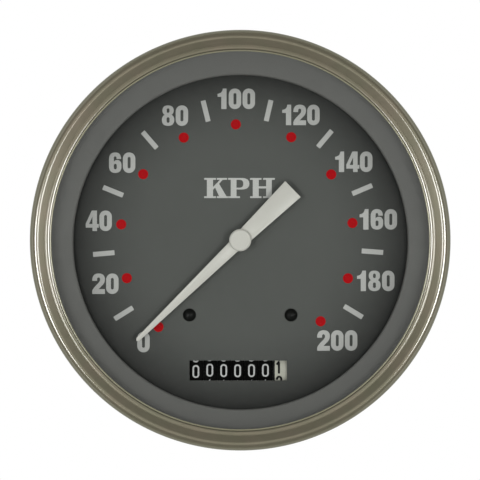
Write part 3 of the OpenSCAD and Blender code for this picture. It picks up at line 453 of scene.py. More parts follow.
# Bold condensed numerals, drawn on a height of 1: advance width, outline and holes
NUMERALS = {
    "0": (0.69, loop(0.31, 0.5, 0.62, 1.0, 0.3), loop(0.31, 0.5, 0.145, 0.56, 0.07)),
    "1": (
        0.37,
        "M 0.26 0 L 0.26 1 L 0.075 1 C 0.055 0.87 0.0 0.76 -0.185 0.745 L -0.185 0.6 L 0.0 0.6 L 0.0 0",
    ),
    "2": (
        0.69,
        "M 0 0.64 L 0 0.7 C 0.01 0.89 0.12 1 0.32 1 C 0.52 1 0.63 0.89 0.63 0.72 "
        "C 0.63 0.6 0.59 0.51 0.5 0.42 L 0.315 0.235 L 0.63 0.235 L 0.63 0 L 0 0 L 0 0.16 "
        "C 0.05 0.27 0.12 0.35 0.22 0.45 C 0.33 0.56 0.39 0.61 0.39 0.7 C 0.39 0.77 0.365 0.805 0.315 0.805 "
        "C 0.255 0.805 0.24 0.76 0.24 0.7 L 0.24 0.64",
    ),
    "4": (
        0.68,
        "M 0 0.165 L 0 0.36 L 0.3 1 L 0.56 1 L 0.56 0.345 L 0.65 0.345 L 0.65 0.165 L 0.56 0.165 L 0.56 0 "
        "L 0.335 0 L 0.335 0.165",
        "M 0.165 0.345 L 0.335 0.345 L 0.335 0.71",
    ),
    "6": (
        0.69,
        "M 0.6 0.68 L 0.6 0.72 C 0.59 0.9 0.49 1 0.31 1 C 0.1 1 0 0.87 0 0.67 L 0 0.33 "
        "C 0 0.12 0.1 0 0.31 0 C 0.52 0 0.62 0.12 0.62 0.3 L 0.62 0.36 C 0.62 0.53 0.54 0.63 0.42 0.63 "
        "C 0.34 0.63 0.28 0.6 0.24 0.545 L 0.24 0.7 C 0.24 0.78 0.265 0.81 0.31 0.81 "
        "C 0.36 0.81 0.375 0.77 0.375 0.68",
        loop(0.312, 0.31, 0.145, 0.27, 0.07),
    ),
    "8": (
        0.69,
        "M 0.31 1 C 0.48 1 0.59 0.92 0.59 0.76 C 0.59 0.65 0.55 0.58 0.48 0.54 "
        "C 0.57 0.49 0.62 0.41 0.62 0.29 C 0.62 0.1 0.51 0 0.31 0 C 0.11 0 0 0.1 0 0.29 "
        "C 0 0.41 0.05 0.49 0.14 0.54 C 0.07 0.58 0.03 0.65 0.03 0.76 C 0.03 0.92 0.14 1 0.31 1",
        loop(0.31, 0.745, 0.135, 0.22, 0.065), loop(0.31, 0.285, 0.145, 0.27, 0.07),
    ),
}

# From the left edge of a number's last figure to its middle, on the same height
LAST_MIDDLE = 0.31

# The unit's three letters, on the same height: outline and holes of each
UNIT = [
    (
        "M 0 0 L 0.584 0 L 0.584 0.088 L 0.439 0.088 L 0.439 0.41 L 0.545 0.517 L 0.745 0.088 L 0.63 0.088 "
        "L 0.63 0 L 1.23 0 L 1.23 0.088 L 1.105 0.088 L 0.74 0.717 L 0.93 0.912 L 1.134 0.912 L 1.134 1 "
        "L 0.63 1 L 0.63 0.912 L 0.79 0.912 L 0.439 0.55 L 0.439 0.912 L 0.584 0.912 L 0.584 1 L 0 1 "
        "L 0 0.912 L 0.134 0.912 L 0.134 0.088 L 0 0.088",
    ),
    (
        "M 1.2 0 L 1.78 0 L 1.78 0.088 L 1.61 0.088 L 1.61 0.427 L 1.87 0.427 "
        "C 2.12 0.427 2.252 0.53 2.252 0.715 C 2.252 0.9 2.12 1 1.87 1 L 1.19 1 L 1.19 0.912 L 1.324 0.912 "
        "L 1.324 0.088 L 1.2 0.088",
        "M 1.61 0.515 L 1.75 0.515 C 1.9 0.515 1.95 0.59 1.95 0.714 C 1.95 0.84 1.9 0.912 1.75 0.912 "
        "L 1.61 0.912",
    ),
    (
        "M 2.29 0 L 2.855 0 L 2.855 0.088 L 2.721 0.088 L 2.721 0.48 L 3.09 0.48 L 3.09 0.088 L 2.94 0.088 "
        "L 2.94 0 L 3.52 0 L 3.52 0.088 L 3.37 0.088 L 3.37 0.912 L 3.52 0.912 L 3.52 1 L 2.94 1 "
        "L 2.94 0.912 L 3.09 0.912 L 3.09 0.585 L 2.721 0.585 L 2.721 0.912 L 2.855 0.912 L 2.855 1 "
        "L 2.29 1 L 2.29 0.912 L 2.424 0.912 L 2.424 0.088 L 2.29 0.088",
    ),
]

# Figures of the counter as centre lines on a box of width 2 a and height 2 b
FIGURES = {
    "0": "M -1 0 L -1 0.52 C -1 0.84 -0.56 1 0 1 C 0.56 1 1 0.84 1 0.52 L 1 -0.52 C 1 -0.84 0.56 -1 0 -1 "
         "C -0.56 -1 -1 -0.84 -1 -0.52 L -1 0",
    "1": "M -1.05 0.42 L -0.05 0.91 L -0.05 -1",
    "2": "M -1 0.5 C -1 0.86 -0.5 1 0 1 C 0.6 1 1 0.85 1 0.5 C 1 0.1 -0.6 -0.4 -1 -1 L 1 -1",
    "3": "M -1 0.62 C -0.9 0.88 -0.5 1 0 1 C 0.6 1 0.95 0.85 0.95 0.52 C 0.95 0.2 0.6 0.06 0 0.06 "
         "C 0.65 0.06 1 -0.14 1 -0.5 C 1 -0.84 0.6 -1 0 -1 C -0.55 -1 -0.9 -0.88 -1 -0.6",
    "4": "M 0.4 -1 L 0.4 1 L -1 -0.42 L 1 -0.42",
    "5": "M 0.9 1 L -0.8 1 L -0.88 0.12 C -0.6 0.26 -0.3 0.3 0 0.3 C 0.65 0.3 1 0.06 1 -0.34 "
         "C 1 -0.8 0.6 -1 0 -1 C -0.5 -1 -0.9 -0.88 -1 -0.6",
    "6": "M 0.9 0.68 C 0.8 0.9 0.5 1 0.05 1 C -0.7 1 -1 0.7 -1 0.2 L -1 -0.4 C -1 -0.8 -0.6 -1 0 -1 "
         "C 0.6 -1 1 -0.8 1 -0.38 C 1 0 0.6 0.2 0 0.2 C -0.6 0.2 -1 0 -1 -0.4",
    "7": "M -1 1 L 1 1 C 0.4 0.4 -0.2 -0.3 -0.3 -1",
    "8": "M 0 0.08 C -0.55 0.08 -0.9 0.24 -0.9 0.54 C -0.9 0.86 -0.5 1 0 1 C 0.5 1 0.9 0.86 0.9 0.54 "
         "C 0.9 0.24 0.55 0.08 0 0.08 C -0.6 0.08 -1 -0.1 -1 -0.46 C -1 -0.84 -0.6 -1 0 -1 "
         "C 0.6 -1 1 -0.84 1 -0.46 C 1 -0.1 0.6 0.08 0 0.08",
    "9": "M -0.9 -0.68 C -0.8 -0.9 -0.5 -1 -0.05 -1 C 0.7 -1 1 -0.7 1 -0.2 L 1 0.4 C 1 0.8 0.6 1 0 1 "
         "C -0.6 1 -1 0.8 -1 0.38 C -1 0 -0.6 -0.2 0 -0.2 C 0.6 -0.2 1 0 1 0.4",
}


class Print:
    """Gathers flat outlines into one thin raised print on the dial's face."""

    def __init__(self, thickness):
        self.verts, self.faces = [], []
        self.levels = (DIAL_FRONT - thickness, DIAL_FRONT)

    def shape(self, path, holes, x=0.0, z=0.0, height=1.0, width=1.0):
        """Adds an outline with holes, its own origin at x, z, as a closed prism."""
        rings = [outline(p) for p in (path, *holes)]
        base, flat = len(self.verts), [p for ring in rings for p in ring]
        for level in self.levels:
            self.verts += [(x + px * width, level, z + pz * height) for px, pz in flat]
        triangles = tessellate_polygon([[Vector((px, pz, 0)) for px, pz in ring] for ring in rings])
        for shift in (base, base + len(flat)):
            self.faces += [tuple(shift + i for i in t) for t in triangles]
        start = 0
        for ring in rings:
            for i in range(len(ring)):
                a, b = base + start + i, base + start + (i + 1) % len(ring)
                self.faces.append((a, b, b + len(flat), a + len(flat)))
            start += len(ring)

    def mesh(self, name):
        return healed(new_mesh(name, self.verts, self.faces))

    def number(self, text, last_x, middle_z, height, width):
        """Sets a number so that the middle of its last figure is at last_x."""
        pen = last_x - (LAST_MIDDLE + sum(NUMERALS[c][0] for c in text[:-1])) * width
        for c in text:
            advance, path, *holes = NUMERALS[c]
            self.shape(path, holes, pen, middle_z - height / 2, height, width)
            pen += advance * width


def ribbon(points, width, least=0.5):
    """Left and right edges of a stroke along points, whose mitred turns widen it by at most 1 / least."""
    closed = math.dist(points[0], points[-1]) < TOUCHING
    n, left, right = len(points), [], []
    for i, (x, y) in enumerate(points):
        before = points[i - 1] if i > 0 else (points[-2] if closed else points[0])
        after = points[i + 1] if i < n - 1 else (points[1] if closed else points[-1])
        came = Vector((x - before[0], y - before[1]))
        goes = Vector((after[0] - x, after[1] - y))
        came = (came if came.length else goes).normalized()
        goes = (goes if goes.length else came).normalized()
        along = (came + goes).normalized() if (came + goes).length > TOUCHING else came
        reach = width / 2 / max(least, along.dot(came))
        left.append((x - along.y * reach, y + along.x * reach))
        right.append((x + along.y * reach, y - along.x * reach))
    return left, right


def figure_strip(x, reading, height, width, stroke):
    """The ten figures of one drum, bent on its rim, with reading at the front.

    Each stroke rises a little along its length, so that it clears itself where it crosses."""
    verts, faces = [], []
    a, b = (width - stroke) / 2, (height - stroke) / 2
    for digit, path in FIGURES.items():
        line = [(px * a, py * b) for px, py in centre_line(path)]
        left, right = ribbon(line, stroke)
        base = len(verts)
        for i, edges in enumerate(zip(left, right)):
            r = DRUM_RADIUS + INK * (1 + i / len(line))
            for px, py in edges:
                turn = (int(digit) - reading) * FIGURE_STEP - py / DRUM_RADIUS
                verts.append((x + px, DRUM_Y - r * math.cos(turn), DRUM_Z - r * math.sin(turn)))
        for i in range(len(line) - 1):
            k = base + 2 * i
            faces.append((k, k + 1, k + 3, k + 2))
    return verts, faces


def centre_line(path, longest=0.25):
    """Points of a centre line, with straight runs cut short enough to bend."""
    points = traced(path, 7)
    fine = points[:1]
    for p, q in zip(points, points[1:]):
        steps = max(1, math.ceil(math.dist(p, q) / longest))
        for s in range(1, steps + 1):
            fine.append((p[0] + (q[0] - p[0]) * s / steps, p[1] + (q[1] - p[1]) * s / steps))
    return fine


# Repeats by geometry nodes


def node_group(name, sockets):
    """A new group with these inputs, its tree, and its inputs by name."""
    group = bpy.data.node_groups.new(name, "GeometryNodeTree")
    for label, kind in sockets:
        group.interface.new_socket(name=label, in_out="INPUT", socket_type="NodeSocket" + kind)
    group.interface.new_socket(name="Geometry", in_out="OUTPUT", socket_type="NodeSocketGeometry")
    tree = Tree(group)
    return group, tree, tree.all_outputs("NodeGroupInput")


def close_group(tree, geometry, material):
    real = tree.add("GeometryNodeRealizeInstances", None, {0: geometry})
    covered = tree.add("GeometryNodeSetMaterial", None, {"Geometry": real, "Material": material})
    tree.node("NodeGroupOutput", None, {0: covered})


def copies_around():
    """A group that repeats a mesh about a centre on the dial by equal steps of angle."""
    group, t, given = node_group("Copies around", [
        ("Geometry", "Geometry"), ("Copies", "Int"), ("First Angle", "Float"), ("Step Angle", "Float"),
        ("Centre", "Vector"), ("Material", "Material"),
    ])
    line = t.add("GeometryNodeMeshLine", None, {
        "Count": given["Copies"], "Offset": (0.0, 0.0, 0.0), "Start Location": given["Centre"],
    })
    turn = given["First Angle"] + given["Step Angle"] * t.add("GeometryNodeInputIndex")
    rotation = t.add("ShaderNodeCombineXYZ", None, {1: turn})
    copies = t.add("GeometryNodeInstanceOnPoints", None, {
        "Points": line, "Instance": given["Geometry"], "Rotation": rotation,
    })
    close_group(t, copies, given["Material"])
    return group


def discs_at_points():
    """A group that sets a flat disc, facing the front, on every point."""
    group, t, given = node_group("Discs at points", [
        ("Geometry", "Geometry"), ("Radius", "Float"), ("Thickness", "Float"), ("Material", "Material"),
    ])
    disc = t.add("GeometryNodeMeshCylinder", None, {
        "Vertices": 40, "Radius": given["Radius"], "Depth": given["Thickness"],
    })
    copies = t.add("GeometryNodeInstanceOnPoints", None, {
        "Points": given["Geometry"], "Instance": disc, "Rotation": (math.pi / 2, 0.0, 0.0),
    })
    close_group(t, copies, given["Material"])
    return group


def screw_thread():
    """A group that winds a ridge of triangular section about an axis along Y, with run-outs at both ends."""
    group, t, given = node_group("Screw thread", [
        ("Root Radius", "Float"), ("Depth", "Float"), ("Pitch", "Float"), ("Turns", "Float"),
        ("Steps", "Int"), ("Start", "Vector"), ("Material", "Material"),
    ])
    strip = t.add("GeometryNodeMeshGrid", None, {
        "Size X": 1.0, "Size Y": 1.0, "Vertices X": given["Steps"] + 1, "Vertices Y": 3,
    })
    along, across, _ = t.split(t.add("GeometryNodeInputPosition"))
    turn = (along + 0.5) * given["Turns"]
    run_out = turn.smaller(given["Turns"] - turn).smaller(1)
    radius = given["Root Radius"] + given["Depth"] * (1 - t.maths("ABSOLUTE", across) * 2) * run_out
    wind = turn * math.tau
    x, y, z = t.split(given["Start"])
    place = t.add("ShaderNodeCombineXYZ", None, {
        0: x + radius * t.maths("SINE", wind), 1: y + (turn + across) * given["Pitch"],
        2: z + radius * t.maths("COSINE", wind),
    })
    wound = t.add("GeometryNodeSetPosition", None, {"Geometry": strip, "Position": place})
    close_group(t, wound, given["Material"])
    return group


def grown(name, group, values, base=None):
    """A mesh grown by a node group with these inputs, as plain geometry."""
    obj = placed(name, base or bpy.data.meshes.new(name))
    modifier = obj.modifiers.new(group.name, "NODES")
    modifier.node_group = group
    for item in group.interface.items_tree:
        if item.item_type == "SOCKET" and item.in_out == "INPUT" and item.name in values:
            modifier[item.identifier] = values[item.name]
    mesh = evaluated_mesh(obj)
    obj.modifiers.remove(modifier)
    bpy.data.objects.remove(obj)
    return mesh


# Settings


def length(name, description, default_mm):
    return FloatProperty(name=name, description=description, default=default_mm * MM, subtype="DISTANCE",
                         unit="LENGTH", precision=5)


def angle(name, description, degrees):
    return FloatProperty(name=name, description=description, default=math.radians(degrees), subtype="ANGLE",
                         unit="ROTATION")


def colour(name, description, value):
    return FloatVectorProperty(name=name, description=description, default=value, subtype="COLOR", size=3,
                               min=0.0, max=1.0)


def amount(name, description, value, most):
    return FloatProperty(name=name, description=description, default=value, min=0, max=most)


class SPEEDO_PG_bezel(bpy.types.PropertyGroup):
    rim_width: length("Rim width", "Width of the bezel, from its outside to the sight opening", 6.3)
    sheet: length("Sheet", "Thickness of the bezel's sheet", 0.8)
    overhang: length("Overhang", "Width of the bezel's folded back edge", 3.4)
    crown_radius: length("Crown radius", "Radius of the rounded crown", 1.9)
    band_slope: angle("Band slope", "Slope of the band inside the crown", 20)
    bead_width: length("Bead width", "Width of the low bead inside the band", 1.35)
    bead_curve: length("Bead curve", "Radius of the bead's rounded top", 2.4)
    bead_step: length("Bead step", "Step down from the band to the bead", 0.14)
    roll_width: length("Roll width", "Width of the rolled edge around the sight opening", 0.6)
    ring_face: length("Ring face", "Width of the trim ring's face", 6.35)
    ring_offset: FloatVectorProperty(
        name="Ring offset", description="How far the trim ring's opening sits off the axis", size=2,
        default=(0.1 * MM, -0.6 * MM), subtype="TRANSLATION", unit="LENGTH", precision=5)


class SPEEDO_PG_print(bpy.types.PropertyGroup):
    numeral_height: length("Numeral height", "Height of the numerals", 6.05)
    numeral_width: length("Numeral width", "Width scale of the numerals", 5.93)
    print_shift: length("Print shift", "Sideways place of the scale's middle off the axis", -0.64)
    print_drop: length("Print drop", "Drop of the scale's middle below the axis", 0.5)
    print_turn: angle("Print turn", "Clockwise turn of the scale on the dial", -0.4)
    tick_radius: length("Tick radius", "Distance of the bars from the scale's middle", 39.82)
    tick_length: length("Tick length", "Length of a bar between two numerals", 6.35)
    tick_width: length("Tick width", "Width of a bar", 1.45)
    dot_radius: length("Dot radius", "Radius of a dot", 1.5)
    step: angle("Step", "Angle between two numerals on the scale", 27.02)
    thickness: length("Print thickness", "Height of the print above the dial", 0.03)
    unit_height: length("Unit height", "Height of the unit's letters", 5.92)
    # Painted shade on the dial and its print, darkening towards the ring
    painted_shade_width: length("Dark width", "How far the dial's darkening reaches in from the ring", 24.5)
    painted_shade_share: amount("Dark share", "Share of the dial's colour that is left at its rim", 0.2, 1)


class SPEEDO_PG_colours(bpy.types.PropertyGroup):
    bezel: colour("Bezel", "Satin finish of the bezel", (0.16, 0.155, 0.104))
    ring: colour("Trim ring", "Paint of the trim ring", (0.118, 0.118, 0.112))
    dial: colour("Dial", "Paint of the dial", (0.0885, 0.0925, 0.0865))
    numerals: colour("Numerals", "Print of the numerals and bars", (0.5, 0.503, 0.485))
    dots: colour("Dots", "Print of the dots", (0.385, 0.003, 0.006))
    pointer: colour("Pointer", "Paint of the pointer", (0.565, 0.556, 0.512))


class SPEEDO_PG_counter(bpy.types.PropertyGroup):
    figure_height: length("Figure height", "Height of the counter's figures", 3.84)
    figure_width: length("Figure width", "Width of the counter's figures", 2.0)
    figure_stroke: length("Figure stroke", "Stroke of the figures on the black drums", 0.46)
    tenths_stroke: length("Tenths stroke", "Stroke of the figures on the white drum", 0.64)
    tenths_height: length("Tenths height", "Height of the figures on the white drum", 4.3)
    tenths_inset: length("Tenths inset", "Gap between the white band's left edge and its figures", 0.26)
    figure_shift: length("Figure shift", "Sideways shift of the black drums' figures", -0.12)
    flange_width: length("Flange width", "Width of the dark flange left of the white band", 0.53)
    tenths: amount("Tenths", "Reading of the white drum", 1.2, 10)


class SPEEDO_PG_back(bpy.types.PropertyGroup):
    nipple_d: length("Cable thread", "Outside diameter of the thread for the cable's nut", 15.88)
    nipple_length: length("Cable thread length", "Length of that thread", 12)
    nipple_pitch: length("Cable thread pitch", "Pitch of that thread", 1.411)
    stud_d: length("Stud thread", "Outside diameter of the mounting studs' thread", 4.8)
    stud_pitch: length("Stud thread pitch", "Pitch of that thread", 0.794)


class SPEEDO_PG_stage(bpy.types.PropertyGroup):
    picture_width: length("Picture width", "Width that the picture shows at the bezel", 141.39)
    distance: length("Camera distance", "Distance of the camera from the bezel", 4000)
    surround: amount("Surround", "Light from all round alike", 0.06, 2)
    belt: amount("Belt", "Light from around the dial's axis, none of it from straight ahead", 1.66, 3)
    side_lamps: amount("Side lamps", "Power of the lamp on each side, in watts", 1.45, 10)
    low_lamp: amount("Low lamp", "Power of the lamp below, in watts", 0.6, 10)
    lamp_angle: angle("Lamp angle", "Angle of the lamps off the dial's axis", 20)


# Operators


def settings():
    return bpy.context.scene.speedometer


def add_lamp(name, aside, up, polar, size, power):
    """A soft lamp beside the camera, turned towards the dial.

    It stands polar off the dial's axis, in the direction that aside and up give."""
    data = bpy.data.lights.new(name, "AREA")
    data.shape, data.energy = "RECTANGLE", power
    data.size, data.size_y = size
    lamp = placed(name, data)
    reach, lean = LAMP_DISTANCE * math.sin(polar), LAMP_DISTANCE * math.cos(polar)
    lamp.location = (aside * reach, -lean, up * reach)
    lamp.rotation_euler = (-lamp.location).to_track_quat("-Z", "Y").to_euler()
    lamp.visible_camera = False
    return lamp


def add_dark_card():
    """A dark surface with two walls in front of the dial, which only reflections show."""
    paint = Paint("Dark room")
    dark = paint.add("ShaderNodeEmission", None, {"Color": (0.03, 0.03, 0.028, 1), "Strength": 1.0})
    wide, high, front, back = 1.9, 2.6, -1.2, -0.35
    corners = ((-wide, -high), (wide, -high), (wide, high), (-wide, high))
    verts = [(x, y, z) for y in (front, back) for x, z in corners]
    card = placed("Dark card", new_mesh("Dark card", verts, [(0, 1, 2, 3), (0, 1, 5, 4), (2, 3, 7, 6)]))
    card.data.materials.append(paint.done(dark))
    card.visible_camera = card.visible_diffuse = card.visible_shadow = card.visible_transmission = False


class SPEEDO_OT_stage(bpy.types.Operator):
    """Places the camera, the lamps and the white surround"""

    bl_idname = "speedo.stage"
    bl_label = "Stage"

    def execute(self, context):
        s = settings().stage
        scene = context.scene
        scene.view_settings.view_transform = "Standard"
        world = bpy.data.worlds.new("Surround")
        scene.world = world
        world.use_nodes = True
        world.node_tree.nodes.clear()
        t = Tree(world.node_tree)
        path = t.all_outputs("ShaderNodeLightPath")
        seen = path["Is Camera Ray"].larger(path["Is Glossy Ray"]).larger(path["Is Transmission Ray"])
        _, facing, _ = t.split(t.add("ShaderNodeTexCoord", output="Generated"))
        light = (1 - facing * facing) * s.belt + s.surround
        level = seen + (1 - seen) * light
        white = t.add("ShaderNodeBackground", None, {"Color": (1, 1, 1, 1), "Strength": level})
        t.node("ShaderNodeOutputWorld", None, {"Surface": white})

        add_lamp("Left lamp", -1, -0.2, s.lamp_angle, SIDE_LAMP_SIZE, s.side_lamps)
        add_lamp("Right lamp", 1, -0.12, s.lamp_angle, SIDE_LAMP_SIZE, s.side_lamps)
        add_lamp("Low lamp", 0, -1, s.lamp_angle, LOW_LAMP_SIZE, s.low_lamp).visible_glossy = False
        add_dark_card()

        data = bpy.data.cameras.new("Camera")
        data.lens = data.sensor_width * s.distance / s.picture_width
        data.clip_start, data.clip_end = 0.1, 100
        camera = placed("Camera", data)
        aside, up = CAMERA_OFFSET
        camera.location = (aside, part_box("bezel")[0].y - s.distance, up)
        camera.rotation_euler = (math.pi / 2, 0, 0)
        scene.camera = camera
        return {"FINISHED"}


def arc(x, y, r, first, last, steps):
    """Points of radius and depth along an arc between two angles in degrees."""
    angles = [math.radians(first + (last - first) * i / steps) for i in range(steps + 1)]
    return [(x + r * math.cos(a), y + r * math.sin(a)) for a in angles]


def bezel_section(s):
    """The bezel's section, from its back edge over the crown and the band to the bead and back inside."""
    low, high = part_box("bezel")
    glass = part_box("glass_lens")[0].y
    outer, sight = high.x, high.x - s.rim_width
    crown_x, crown_y = outer - s.crown_radius, low.y + s.crown_radius
    slope = math.degrees(s.band_slope)
    edge_x, edge_y = arc(crown_x, crown_y, s.crown_radius, -90 - slope, -90 - slope, 1)[0]
    band_x = sight + s.bead_width + s.roll_width
    band_y = edge_y + (edge_x - band_x) * math.tan(s.band_slope)
    bead_x, bead_y = band_x - s.bead_width / 2, band_y + s.bead_step
    bead_steps, bead_share = 8, 0.94
    bead = []
    for i in range(bead_steps + 1):
        across = s.bead_width * (0.5 - i / bead_steps) * bead_share
        bead.append((bead_x + across, bead_y + across**2 / (2 * s.bead_curve)))
    roll = s.roll_width / 2
    roll_y = bead_y + roll + 0.08 * MM
    seat_x, shoulder_x = band_x + 0.3 * MM, band_x + 0.6 * MM
    return [
        (outer - s.overhang, high.y), *arc(outer - s.sheet, high.y - s.sheet, s.sheet, 90, 0, 6),
        *arc(crown_x, crown_y, s.crown_radius, 0, -90 - slope, 30), (band_x, band_y), *bead,
        *arc(sight + roll, roll_y, roll, -50, -180, 10), (sight, glass),
        (seat_x, glass), (shoulder_x, band_y + s.sheet),
        *arc(crown_x, crown_y, s.crown_radius - s.sheet, -90 - slope, 0, 12),
        (outer - s.sheet, high.y - s.sheet), (outer - s.overhang, high.y - s.sheet),
    ]


def lowered_ring(s, material):
    """Replaces the trim ring by a copy whose opening sits a little low, as the photographed one does."""
    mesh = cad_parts["trim_ring"].data.copy()
    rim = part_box("bezel")[1].x - s.rim_width
    for v in mesh.vertices:
        share = (rim - math.hypot(v.co.x, v.co.z)) / s.ring_face
        share = min(1.0, max(0.0, share))
        v.co.x += s.ring_offset[0] * share
        v.co.z += s.ring_offset[1] * share
    add_piece("trim_ring_seated", mesh, material, stands_for=("trim_ring",))


class SPEEDO_OT_bezel(bpy.types.Operator):
    """Turns the bezel and finishes it, the glass, its seal and the trim ring"""

    bl_idname = "speedo.bezel"
    bl_label = "Bezel, glass and trim ring"

    def execute(self, context):
        c, s = settings().colours, settings().bezel
        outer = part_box("bezel")[1].x
        groove = outer - s.rim_width + s.roll_width
        bead, crest = groove + s.bead_width / 2, outer - s.crown_radius
        satin = satin_bezel("Satin bezel", c.bezel, groove, bead, crest, outer)
        turned = healed(new_mesh("bezel_turned", *revolved(bezel_section(s), BEZEL_STEPS)))
        add_piece("bezel_turned", turned, satin, stands_for=("bezel",))
        finish_nodes("glass", clear_glass("Clear glass"))
        finish_nodes("seal_rubber", moulded("Seal rubber", (0.03, 0.03, 0.03), 0.7))
        ring = painted("Ring paint", c.ring, 0.5, mottle=0.04, grain=0.04)
        finish_nodes("ring_grey", ring)
        lowered_ring(s, ring)
        return {"FINISHED"}


# Each number's last figure and its dot: right of and above the pointer's axis, in millimetres
SCALE = {
    "0": ((-28.57, -30.09), (-24.15, -25.61)),
    "20": ((-37.78, -12.85), (-33.5, -11.21)),
    "40": ((-39.77, 5.74), (-35.16, 4.67)),
    "60": ((-32.83, 22.91), (-28.66, 19.51)),
    "80": ((-17.22, 36.81), (-16.68, 30.31)),
    "100": ((2.54, 41.78), (-1.3, 34.21)),
    "120": ((21.64, 37.02), (15.07, 30.43)),
    "140": ((37.23, 23.18), (26.88, 19.42)),
    "160": ((44.49, 6.16), (33.16, 5.08)),
    "180": ((43.74, -12.01), (31.84, -11.27)),
    "200": ((32.77, -29.63), (23.75, -23.96)),
}
UNIT_PLACE = (-10.63, 12.46)


class SPEEDO_OT_dial(bpy.types.Operator):
    """Paints the dial and prints its scale"""

    bl_idname = "speedo.dial"
    bl_label = "Dial and its print"

    def execute(self, context):
        c, p = settings().colours, settings().print
        opening = DIAL_EDGE - RING_OVERLAP
        # The dial and its print are painted darker towards the ring, as painted shade
        painted_shade_span = (opening - p.painted_shade_width, opening)
        dial = painted("Dial paint", c.dial, 0.75, mottle=0.04, grain=0.06, peel=0.002 * MM,
                       edge=(*painted_shade_span, p.painted_shade_share))
        finish_nodes("dial_grey", dial)
        finish_nodes("screw_black", moulded("Black screws", (0.004, 0.0045, 0.004), 0.3, shine=0.12))
        ink = painted("Scale print", c.numerals, 0.6, mottle=0.02, grain=0.02, edge=(*painted_shade_span, 0.55))
        red = painted("Dot print", c.dots, 0.6, mottle=0.04, grain=0.03, shine=0.03)

        scale = Print(p.thickness)
        for text, ((x, z), _) in SCALE.items():
            scale.number(text, x * MM, z * MM, p.numeral_height, p.numeral_width)
        add_piece("numerals", scale.mesh("numerals"), ink, crease=30)

        unit = Print(p.thickness)
        x, z = UNIT_PLACE
        for path, *holes in UNIT:
            unit.shape(path, holes, x * MM, z * MM, p.unit_height, p.unit_height)
        add_piece("unit_letters", unit.mesh("unit_letters"), ink, crease=30)

        bar = Print(p.thickness)
        half, low = p.tick_width / 2, p.tick_radius - p.tick_length / 2
        high = low + p.tick_length
        bar.shape(f"M {-half} {low} L {half} {low} L {half} {high} L {-half} {high}", [])
        first = p.print_turn - (len(SCALE) / 2 - 1) * p.step
        ticks = grown("ticks", copies_around(), {
            "Copies": len(SCALE) - 1, "First Angle": first, "Step Angle": p.step,
            "Centre": (p.print_shift, 0.0, -p.print_drop), "Material": ink,
        }, bar.mesh("bar"))
        add_piece("ticks", ticks, ink)

        middle = DIAL_FRONT - p.thickness / 2
        places = new_mesh("places", [(x * MM, middle, z * MM) for _, (x, z) in SCALE.values()], [])
        dots = grown("dots", discs_at_points(), {
            "Radius": p.dot_radius, "Thickness": p.thickness, "Material": red,
        }, places)
        add_piece("dots", dots, red)
        return {"FINISHED"}


class SPEEDO_OT_pointer(bpy.types.Operator):
    """Paints the pointer and rounds its edges"""

    bl_idname = "speedo.pointer"
    bl_label = "Pointer"

    def execute(self, context):
        cream = painted("Pointer paint", settings().colours.pointer, 0.42, mottle=0.035, grain=0.03, coat=0.2)
        finish_nodes("pointer_paint", cream)
        softened("pointer_blade", 0.12 * MM, cream, "pointer")
        return {"FINISHED"}


# How far each black drum, from the right, has turned past its zero, as a share of the step to its one
DRUM_PLAY = (0.01, -0.01, -0.02, -0.01, 0.02, -0.07)


class SPEEDO_OT_counter(bpy.types.Operator):
    """Finishes the number drums and prints their figures"""

    bl_idname = "speedo.counter"
    bl_label = "Counter"

    def execute(self, context):
        s = settings().counter
        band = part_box("tenths_drum")[0].x + s.flange_width
        finish_nodes("drum_black", moulded("Black drums", (0.001, 0.001, 0.001), 0.6, peel=0, shine=0.015))
        white = moulded("White drum", (0.44, 0.433, 0.372), 0.55, peel=0, shine=0.2, band=band)
        finish_nodes("drum_white", white)
        finish_nodes("gear_plastic", moulded("Gear plastic", (0.62, 0.6, 0.52), 0.45, clear=0.05))
        pale = painted("Pale figures", (0.5, 0.5, 0.5), 0.6, mottle=0.02, grain=0.02)
        dark = painted("Dark figures", (0.005, 0.005, 0.005), 0.6, mottle=0.03, grain=0.02, shine=0.1)
        for k, play in enumerate(DRUM_PLAY, start=1):
            low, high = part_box(f"drum_{k}")
            x = (low.x + high.x) / 2 + s.figure_shift
            strip = figure_strip(x, play, s.figure_height, s.figure_width, s.figure_stroke)
            add_piece(f"figures_{k}", new_mesh(f"figures_{k}", *strip), pale, f"units_{k}")
        x = band + s.figure_width / 2 + s.tenths_inset
        strip = figure_strip(x, s.tenths, s.tenths_height, s.figure_width, s.tenths_stroke)
        add_piece("figures_tenths", new_mesh("figures_tenths", *strip), dark, "tenths")
        return {"FINISHED"}


class SPEEDO_OT_movement(bpy.types.Operator):
    """Finishes the plates, shafts, gears and springs inside the case"""

    bl_idname = "speedo.movement"
    bl_label = "Movement"

    def execute(self, context):
        finish_nodes("bright_steel", metal("Bright steel", (0.62, 0.62, 0.61), 0.25))
        zinc = metal("Zinc plated steel", (0.47, 0.475, 0.47), 0.36, tint=(0.5, 0.49, 0.44))
        finish_nodes("plate_steel", zinc)
        finish_nodes("brass", metal("Brass", (0.72, 0.52, 0.22), 0.3))
        finish_nodes("spring_bronze", metal("Spring bronze", (0.66, 0.45, 0.26), 0.28))
        finish_nodes("cast_alloy", metal("Cast alloy", (0.5, 0.5, 0.5), 0.55, scratch=0.2))
        finish_nodes("cup_aluminium", metal("Aluminium", (0.78, 0.78, 0.78), 0.35))
        finish_nodes("magnet", metal("Magnet", (0.2, 0.2, 0.21), 0.5))
        return {"FINISHED"}


